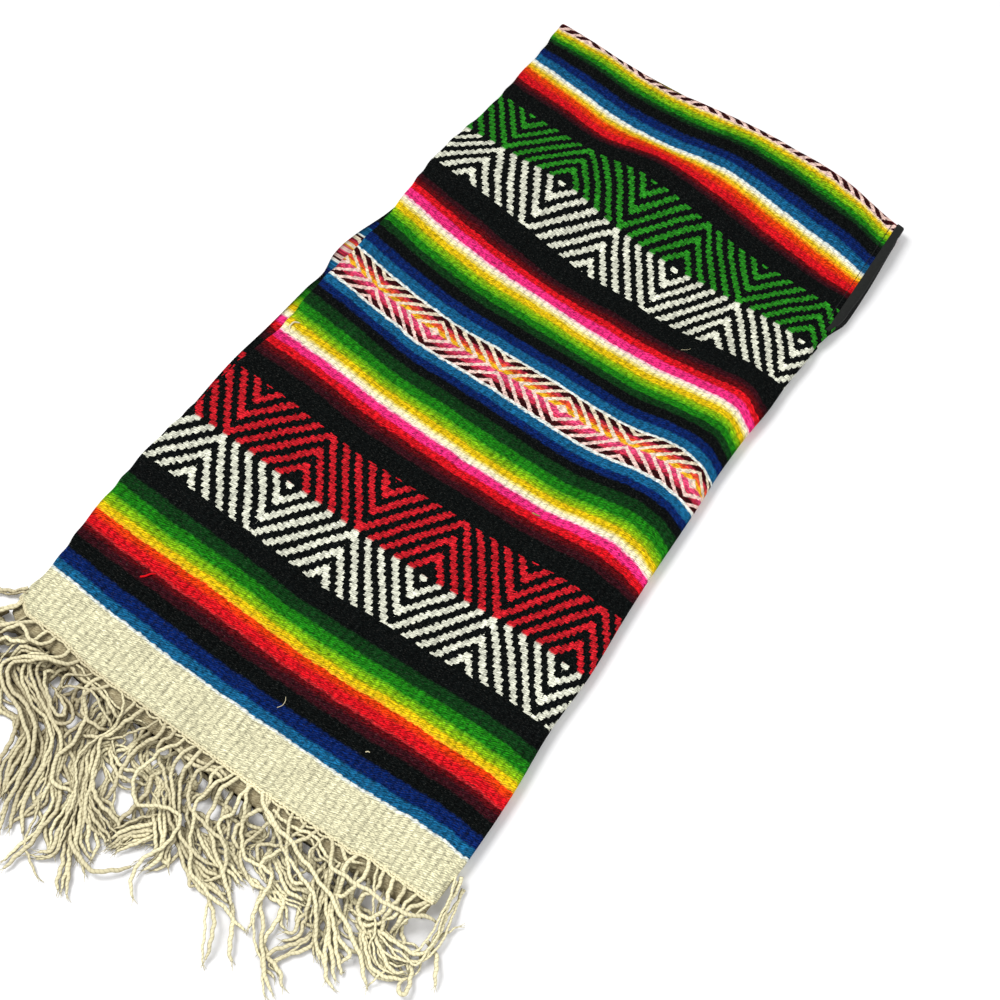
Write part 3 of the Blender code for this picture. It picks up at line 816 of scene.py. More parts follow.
def add(tree, kind, *values, named=None, **settings):
    """One new node. Its inputs take the values in order, or by name.

    Each value is a number, a colour, a socket, or a node whose first output is meant.
    """
    kind, _, operation = kind.partition(".")
    node = tree.nodes.new("ShaderNode" + kind)
    if operation:
        node.operation = operation
    for name, setting in settings.items():
        setattr(node, name, setting)
    for key, value in [*enumerate(values), *(named or {}).items()]:
        if isinstance(value, bpy.types.Node):
            value = value.outputs[0]
        if isinstance(value, bpy.types.NodeSocket):
            tree.links.new(value, node.inputs[key])
        else:
            node.inputs[key].default_value = value
    return node


def new_material(name):
    material = bpy.data.materials.new(name)
    material.use_nodes = True
    return material, material.node_tree


def finish(tree, colour, roughness, specular, relief=None):
    """Gives the shader its colour and its relief, and sets how it shines on its own sockets."""
    shader = tree.nodes["Principled BSDF"]
    tree.links.new(colour, shader.inputs["Base Color"])
    if relief:
        tree.links.new(relief.outputs[0], shader.inputs["Normal"])
    shader.inputs["Roughness"].default_value = roughness
    shader.inputs["Specular IOR Level"].default_value = specular


print(len(YARNS), "yarn colours")

# %% [markdown]
# ## The weaver's plan
#
# Stripes are counted in mm of weft from the hem to the shoulder. Where a row starts, the plan names
# its ground yarn, and how far that yarn is blended into the one before: a weaver shades one colour
# into the next by alternating picks. In four bands a second yarn makes figures over the ground:
# rhombi that repeat every 40 warps, stepped one warp at a time, as a weaver counts them by hand.

# %% Weaving plan
WARP = 3.0  # mm from one warp to the next
RIB = 2 * WARP  # plain weft rides over the warps in pairs, which show as ribs
PICK = 1.45  # mm from one float of weft to the next, along a rib
LEAN = 1.3  # picks that a float climbs as it crosses its rib
Stripe = namedtuple("Stripe", "starts yarn fade", defaults=(2.0,))
GROUND = (
    Stripe(-60, "ecru"),
    Stripe(-1.9, "snow", 1.2),
    Stripe(-0.2, "azure", 0.5),
    Stripe(7.2, "navy", 1.6),
    Stripe(16.6, "black", 1.8),
    Stripe(28.3, "wine", 1.6),
    Stripe(34.8, "maroon", 3.0),
    # A pinkish line where maroon meets red: a painted highlight along the slanting picks.
    Stripe(38.2, "rose", 0.8),
    Stripe(39.6, "red", 0.8),
    Stripe(47.2, "vermilion", 4.0),
    Stripe(52.2, "orange", 0.8),
    Stripe(54, "yellow", 1.2),
    Stripe(58.7, "chartreuse", 1.2),
    Stripe(61, "lime"),
    Stripe(64.8, "grass"),
    Stripe(66.8, "green", 1.4),
    Stripe(75.6, "bottle", 1.6),
    Stripe(85.8, "black", 1.6),
    Stripe(224, "wine", 1.4),
    Stripe(230.4, "maroon", 4.0),
    Stripe(235.3, "red", 0.8),
    Stripe(242.2, "pink", 1.4),
    Stripe(249.6, "blush", 1.2),
    Stripe(251, "white", 1.2),
    Stripe(255.3, "butter", 1.6),
    Stripe(257.4, "yellow", 1.4),
    Stripe(263.4, "chartreuse", 1.4),
    Stripe(266.2, "lime"),
    Stripe(269.4, "grass"),
    Stripe(272.2, "green", 1.4),
    Stripe(281.6, "bottle", 1.4),
    Stripe(292.4, "black", 1.6),
    Stripe(301, "navy", 1.6),
    Stripe(307.8, "azure", 1.6),
    Stripe(315.4, "snow", 0.6),
    Stripe(317.6, "petal", 1.0),
    Stripe(334, "cream", 4.0),
    Stripe(347.8, "snow", 1.0),
    Stripe(350, "azure", 0.6),
    Stripe(359.6, "navy", 1.6),
    Stripe(369, "black", 1.8),
    Stripe(380, "bottle", 1.6),
    Stripe(387.8, "green", 1.4),
    Stripe(395.2, "grass", 1.6),
    Stripe(398, "lime"),
    Stripe(401.4, "chartreuse", 1.6),
    Stripe(403.6, "yellow", 1.4),
    Stripe(410.2, "butter", 1.4),
    Stripe(413, "white", 1.6),
    Stripe(417, "blush", 1.2),
    Stripe(419.2, "pink", 1.0),
    Stripe(428.2, "red", 1.6),
    Stripe(434.8, "maroon", 0.8),
    Stripe(440, "wine", 4.0),
    Stripe(445.5, "black", 1.6),
    Stripe(582.6, "wine"),
    Stripe(586.4, "maroon", 3.0),
    Stripe(590.2, "red", 1.6),
    Stripe(600, "vermilion", 5.0),
    Stripe(606.6, "tangerine", 1.2),
    Stripe(609, "orange"),
    Stripe(611.4, "yellow"),
    Stripe(613.8, "butter"),
    Stripe(615.8, "white", 1.2),
    Stripe(618, "snow", 1.0),
    Stripe(620.4, "azure", 0.6),
    Stripe(629.4, "navy"),
    Stripe(637.4, "black", 2.2),
    Stripe(648, "bottle"),
    Stripe(651.6, "green", 1.8),
    Stripe(656.2, "lime", 2.4),
    Stripe(659.4, "chartreuse"),
    Stripe(661.6, "yellow"),
    Stripe(664.6, "butter", 1.2),
    Stripe(666.2, "petal", 1.2),
)
FIGURE = (
    Stripe(60, "ivory"),
    Stripe(152.8, "brick", 1.6),
    Stripe(260, "umber"),
    Stripe(323.4, "crimson", 1.6),
    Stripe(327, "raspberry", 3.0),
    Stripe(332.6, "amber", 1.2),
    Stripe(336.2, "rust", 1.4),
    Stripe(339.8, "crimson", 1.6),
    Stripe(342.2, "umber", 1.2),
    Stripe(420, "ivory"),
    Stripe(514.8, "leaf", 1.2),
    Stripe(610, "umber"),
    Stripe(674.5, "garnet", 3.0),
    Stripe(680, "crimson", 3.0),
)
# Where figures are woven: the rows that a band starts and ends at, the row that it is mirrored
# about, the height of one step beside a rhombus's middle, how much that grows from warp to warp,
# and how many of every four warps the figure covers.
Band = namedtuple("Band", "starts ends middle step growth cover")
BANDS = (
    Band(103, 205.8, 152.6, 4.27, 0.004, 1.8),
    Band(317.8, 347.8, 332.8, 2.1, 0.0, 2.4),
    Band(466.5, 567.4, 514.6, 4.1, 0.004, 1.8),
    Band(667.4, 699, 683, 2.5, 0.0, 2.3),
)
REPEAT = 40  # warps from one rhombus to the next
CENTRE = 32.5  # the first marked rhombus, in warps
CHART_SPAN = 110.0  # the most rows that one ramp holds, so that its steps stay sharp
CHART_STRIPES = 15  # the most stripes that it holds: Blender's ramps have 32 stops
print(len(GROUND), "stripes and", len(BANDS), "bands of figures")

# %% [markdown]
# ## Weft-faced wool cloth
#
# A thick wool or acrylic weft covers the warp. It shows as ribs, each over a pair of warps, with
# short slanting floats of weft side by side along it. The yarn is matt and a little hairy: pale
# single fibres lie along the floats, and the grooves between ribs are in shade. The stripes' edges
# shift a little from rib to rib.

# %% Weave coordinates
Cells = namedtuple("Cells", "scaled moved u v warps in_rib luck floats")


def shaken(tree, vector, scale, amount):
    """The vector moved about by smooth noise: scale in waves per mm, amount in mm each way."""
    noise = add(tree, "TexNoise", named={"Vector": vector, "Scale": scale, "Detail": 1.0})
    centred = add(tree, "VectorMath.ADD", noise.outputs["Color"], (-0.5,) * 3)
    sized = add(tree, "VectorMath.MULTIPLY", centred, (*amount, 0))
    return add(tree, "VectorMath.ADD", vector, sized)


def weave_cells(tree):
    """The cloth's own coordinates, in mm, and what rib and float each point lies in."""
    place = add(tree, "UVMap", uv_map="weave")
    scaled = add(tree, "VectorMath.MULTIPLY", place, (1000, 1000, 0))
    moved = shaken(tree, scaled, 0.05, (3.2, 2.4))
    moved = shaken(tree, moved, 0.35, (1.6, 1.6))
    parts = add(tree, "SeparateXYZ", moved)
    u, v = parts.outputs[0], parts.outputs[1]
    warps = add(tree, "Math.DIVIDE", u, WARP)
    ribs = add(tree, "Math.DIVIDE", u, RIB)
    rib = add(tree, "Math.FLOOR", ribs)
    in_rib = add(tree, "Math.FRACT", ribs)
    luck = add(tree, "TexWhiteNoise", named={"W": rib}, noise_dimensions="1D")
    # Floats lean one way, and those of the next rib start at another height.
    lean = add(tree, "Math.MULTIPLY_ADD", in_rib, -LEAN, luck)
    floats = add(tree, "Math.MULTIPLY_ADD", v, 1 / PICK, lean)
    return Cells(scaled, moved, u, v, warps, in_rib, luck, floats)


# %% Chart colours
def chart(tree, row, stripes):
    """The yarn that the plan gives this row, through as many ramps as the plan needs."""
    groups, result = [[]], None
    for before, stripe in zip(stripes, stripes[1:]):
        group = groups[-1]
        if len(group) == CHART_STRIPES or (group and stripe.starts - group[0][1].starts > CHART_SPAN):
            group = []
            groups.append(group)
        group.append((before, stripe))
    for group in groups:
        before, stripe = group[0]
        low = (before.starts + stripe.starts) / 2
        high = group[-1][1].starts + 3.0
        span = {"From Min": low, "From Max": high, "To Min": 0.0, "To Max": 1.0}
        place = add(tree, "MapRange", named={"Value": row, **span})
        ramp = add(tree, "ValToRGB", place)
        stops = ramp.color_ramp.elements
        stops.remove(stops[-1])
        stops[0].position, stops[0].color = 0.0, linear(YARNS[before.yarn])
        for before, stripe in group:
            for yarn, side in ((before.yarn, -0.5), (stripe.yarn, 0.5)):
                stop = stops.new((stripe.starts + side * stripe.fade - low) / (high - low))
                stop.color = linear(YARNS[yarn])
        if result is None:
            result = ramp.outputs[0]
            continue
        past = add(tree, "Math.GREATER_THAN", row, low)
        joined = add(tree, "Mix", past, named={6: result, 7: ramp.outputs[0]}, data_type="RGBA")
        result = joined.outputs[2]
    return result


Figured = namedtuple("Figured", "inside middle step growth cover")
LEAST_STEP = 0.001  # outside the bands, so that nothing is divided by nought


def band_values(tree, row):
    """Nodes for the band of figures at this row: 1 inside it, then its own numbers."""
    totals = {"inside": 0.0, "middle": 0.0, "step": LEAST_STEP, "growth": 0.0, "cover": 0.0}
    for band in BANDS:
        half, middle = (band.ends - band.starts) / 2, (band.ends + band.starts) / 2
        within = add(tree, "Math.COMPARE", row, middle, half)
        numbers = {"inside": 1.0, **band._asdict()}
        for key, total in totals.items():
            totals[key] = add(tree, "Math.MULTIPLY_ADD", within, numbers[key], total)
    return Figured(**totals)


# %% Figures
def figures(tree, cells, uneven):
    """1 where the second yarn shows, as nested rhombi of beads, and its painted light and shade."""
    band = band_values(tree, cells.v)
    off = add(tree, "Math.SUBTRACT", cells.v, band.middle)
    off = add(tree, "Math.ABSOLUTE", off)
    aside = add(tree, "Math.ADD", cells.warps, -CENTRE)
    aside = add(tree, "Math.WRAP", aside, -REPEAT / 2, REPEAT / 2)
    aside = add(tree, "Math.ABSOLUTE", aside)
    column = add(tree, "Math.ROUND", aside)
    size = add(tree, "Math.MULTIPLY_ADD", column, band.growth, band.step)
    steps = add(tree, "Math.DIVIDE", off, size)
    fine = add(tree, "Math.GREATER_THAN", band.cover, 2.0)
    # A bead's ends follow the slant of its diagonal a little, so that its teeth stay small.
    within = add(tree, "Math.FRACT", steps)
    stepped = add(tree, "Math.FLOOR", steps)
    stepped = add(tree, "Math.MULTIPLY_ADD", within, 0.25, stepped)
    stepped = add(tree, "Mix", fine, named={2: stepped, 3: steps}, data_type="FLOAT")
    phase = add(tree, "Math.MULTIPLY_ADD", fine, 1.07, 1.88)
    ring = add(tree, "Math.ADD", aside, stepped)
    core = add(tree, "Math.LESS_THAN", ring, 1.5)
    ring = add(tree, "Math.ADD", ring, phase)
    ring = add(tree, "Math.FLOORED_MODULO", ring, 4.0)
    near = add(tree, "Math.ADD", ring, -2.0)
    near = add(tree, "Math.ABSOLUTE", near)
    # A bead is fullest at its middle and narrower where it meets the next.
    end = add(tree, "Math.MULTIPLY_ADD", within, 2.0, -1.0)
    end = add(tree, "Math.ABSOLUTE", end)
    end = add(tree, "Math.POWER", end, 3.0)
    taper = add(tree, "Math.MULTIPLY_ADD", end, -0.08, 0.53)
    reach = add(tree, "Math.MULTIPLY", band.cover, taper)
    rough = add(tree, "Math.MULTIPLY_ADD", uneven, 1.2, -0.6)
    reach = add(tree, "Math.ADD", reach, rough)
    shows = add(tree, "Math.LESS_THAN", near, reach)
    # The small lozenge at a rhombus's middle is woven in the lower yarn alone.
    upper = add(tree, "Math.GREATER_THAN", cells.v, band.middle)
    hidden = add(tree, "Math.MULTIPLY", core, upper)
    shows = add(tree, "Math.SUBTRACT", shows, hidden, use_clamp=True)
    shows = add(tree, "Math.MULTIPLY", shows, band.inside)
    # Where two diagonals meet, the floats are longer and lie fuller, and are painted lighter.
    plain = add(tree, "Math.COMPARE", aside, REPEAT / 4, REPEAT / 4 - 1.4)
    figure_shading = add(tree, "Math.MULTIPLY_ADD", plain, -0.2, 1.2)
    # Painted shade: each bead is a little darker towards its ends.
    figure_shading = add(tree, "Math.MULTIPLY_ADD", end, -0.12, figure_shading)
    return shows, figure_shading


# %% Ribs and fibres
def rounded_yarn(tree, cells):
    """How high a point stands, from 0 to 1: across its rib, and along the rib over its float."""
    across = add(tree, "Math.MULTIPLY", cells.in_rib, math.pi)
    across = add(tree, "Math.SINE", across)
    across = add(tree, "Math.POWER", across, 0.4)
    along = add(tree, "Math.MULTIPLY", cells.floats, math.pi)
    along = add(tree, "Math.SINE", along)
    return across, add(tree, "Math.ABSOLUTE", along)


def spun_wool(tree, cells):
    """How lumpy the yarn is at a point, and its fibres, which lie slanting along the weft."""
    lumps = add(tree, "VectorMath.MULTIPLY", cells.moved, (0.33, 0.75, 0))
    lumpy = {"Vector": lumps, "Scale": 1.0, "Detail": 2.0, "Roughness": 0.6}
    slant = add(tree, "Math.MULTIPLY_ADD", cells.u, -0.3, cells.v)
    drawn = add(tree, "CombineXYZ", cells.u, slant)
    drawn = add(tree, "VectorMath.MULTIPLY", drawn, (0.22, 0.95, 0))
    fibrous = {"Vector": drawn, "Scale": 1.0, "Detail": 3.0, "Roughness": 0.65}
    return add(tree, "TexNoise", named=lumpy), add(tree, "TexNoise", named=fibrous)


def dyed_yarn(tree, cells, across, fibre):
    """The colour of the yarn at a point: its stripe's, or that of a figure over it.

    The edges of stripes bulge a little over each rib, and are ragged with fibres.
    """
    row = cells.v
    for part, reach in ((cells.luck, 0.5), (across, -0.5), (fibre, 2.4)):
        row = add(tree, "Math.MULTIPLY_ADD", part, reach, row)
    row = add(tree, "Math.ADD", row, -1.05)
    shows, figure_shading = figures(tree, cells, fibre)
    figure = add(tree, "VectorMath.SCALE", chart(tree, row, FIGURE), named={"Scale": figure_shading})
    both = {6: chart(tree, row, GROUND), 7: figure}
    return add(tree, "Mix", shows, named=both, data_type="RGBA").outputs[2]


# %% Woven wool
HEM_SHADE, HAIR = linear("#7A6440"), linear("#E8E6DC")
SHADED_TO, SHADE_GONE = -46, -26  # the rows between which the painted shade at the hem fades


def woven_wool(name, shade_at_hem):
    material, tree = new_material(name)
    cells = weave_cells(tree)
    across, along = rounded_yarn(tree, cells)
    lumps, fibre = spun_wool(tree, cells)
    yarn = dyed_yarn(tree, cells, across, fibre)

    worn = add(tree, "TexNoise", named={"Vector": cells.scaled, "Scale": 0.05, "Detail": 3.0})
    uneven = 0.1
    for part, share in ((lumps, 0.75), (fibre, 0.85), (worn, 0.2)):
        uneven = add(tree, "Math.MULTIPLY_ADD", part, share, uneven)
    # Painted shade: each float is darker towards its ends.
    shade = add(tree, "Math.MULTIPLY_ADD", along, 0.2, 0.87)
    value = add(tree, "Math.MULTIPLY", uneven, shade)
    # Light that scatters in pale yarn fills its shadows; dark yarn keeps them deep.
    pale = add(tree, "RGBToBW", yarn)
    depth = add(tree, "Math.MULTIPLY_ADD", pale, -2.8, 4.6)
    value = add(tree, "Math.POWER", value, depth)
    value = add(tree, "Math.MINIMUM", value, 2.2)
    # Painted light: the cloth is painted a little darker towards its selvedge, lighter towards the fold.
    painted_falloff = {"Value": cells.u, "From Min": 0, "From Max": HALF_WIDTH, "To Min": 0.93, "To Max": 1.08}
    painted_falloff = add(tree, "MapRange", named=painted_falloff)
    value = add(tree, "Math.MULTIPLY", value, painted_falloff)
    # Painted shade: the grooves between ribs are darker.
    groove = add(tree, "Math.MULTIPLY_ADD", across, 0.37, 0.475)
    value = add(tree, "Math.MULTIPLY", value, groove)
    colour = add(tree, "VectorMath.SCALE", yarn, named={"Scale": value})
    # Painted shade: what lies under the fringe, in its shade, is mixed towards a dark brown.
    fades = {"From Min": SHADED_TO, "From Max": SHADE_GONE, "To Min": shade_at_hem, "To Max": 0.0}
    dust_and_shade = add(tree, "MapRange", named={"Value": cells.v, **fades})
    colour = add(tree, "Mix", dust_and_shade, named={6: colour, 7: HEM_SHADE}, data_type="RGBA")
    # A few pale hairs stand off the cloth, seen best on dark yarns; partly a painted sheen.
    fine = add(tree, "VectorMath.MULTIPLY", cells.moved, (0.5, 2.2, 0))
    hairs = add(tree, "TexNoise", named={"Vector": fine, "Scale": 1.0, "Detail": 2.0})
    hairs = add(tree, "Math.MULTIPLY_ADD", hairs, 6.0, -3.5, use_clamp=True)
    haze = add(tree, "Math.MULTIPLY", hairs, 0.045)
    colour = add(tree, "Mix", haze, named={6: colour.outputs[2], 7: HAIR}, data_type="RGBA")
    bumps = lumps
    for part, height in ((across, 0.45), (along, 0.3), (fibre, 0.8)):
        bumps = add(tree, "Math.MULTIPLY_ADD", part, height, bumps)
    relief = add(tree, "Bump", named={"Strength": 0.6, "Distance": 0.0008, "Height": bumps})
    finish(tree, colour.outputs[2], 0.95, 0.04, relief)
    return material


wool = woven_wool("weft-faced wool, handwoven", 0.0)
cloth_top.data.materials.append(wool)
shaded = woven_wool("weft-faced wool, handwoven, dusty at its hem", 0.58)
cloth_under.data.materials.append(shaded)
print("woven wool:", len(wool.node_tree.nodes), "nodes")

# %% [markdown]
# ## Black binding tape
#
# The tape is plain-woven cotton, dull black, a little lighter where its threads catch the light.
# The hidden edges near the floor are in deep shade, so it darkens downwards.

# %% Cotton tape
TAPE_THREAD = 0.5  # mm from one thread to the next
DARK_BELOW, LIT_ABOVE = 0.006, 0.009  # heights in metres


def cotton_tape():
    material, tree = new_material("cotton tape, plain-woven and dyed black")
    place = add(tree, "UVMap", uv_map="weave")
    threads = add(tree, "VectorMath.MULTIPLY", place, (1000 / TAPE_THREAD,) * 3)
    parts = add(tree, "SeparateXYZ", threads)
    waves = []
    for part in parts.outputs[:2]:
        wave = add(tree, "Math.MULTIPLY", part, math.pi)
        waves.append(add(tree, "Math.SINE", wave))
    weave = add(tree, "Math.MULTIPLY", *waves)
    dust_and_shade = add(tree, "TexNoise", named={"Vector": threads, "Scale": 0.12, "Detail": 4.0})
    mixed = add(tree, "Math.MULTIPLY_ADD", dust_and_shade, 0.6, 0.1)
    mixed = add(tree, "Math.MULTIPLY_ADD", weave, 0.12, mixed)
    low, high = linear("#0B0C0B"), linear("#272927")
    colour = add(tree, "Mix", mixed, named={6: low, 7: high}, data_type="RGBA")
    relief = add(tree, "Bump", named={"Strength": 0.4, "Distance": 0.0002, "Height": weave})
    where = add(tree, "SeparateXYZ", add(tree, "TexCoord").outputs["Object"])
    height = where.outputs["Z"]
    low_down = {"Value": height, "From Min": DARK_BELOW, "From Max": LIT_ABOVE, "To Min": 0.3}
    lit = add(tree, "MapRange", named=low_down)
    colour = add(tree, "VectorMath.SCALE", colour.outputs[2], named={"Scale": lit})
    finish(tree, colour.outputs[0], 0.85, 0.25, relief)
    return material


tape_cotton = cotton_tape()
for piece in (tape_top, tape_under):
    piece.data.materials.append(tape_cotton)

# %% [markdown]
# ## Warp ends
#
# The warps run on past the hem as an uncombed fringe. Handling has felted it: cords hook, cross and
# bunch together, and some have split into single plies. The ones that lie on top are placed one by
# one, by the points that they pass, in mm across and from the hem. A bunch is one line that several
# cords follow, a gap apart, and lift is how high in the tangle it lies, in mm. Below them lies a
# rough tangle, made by chance along looser lines.

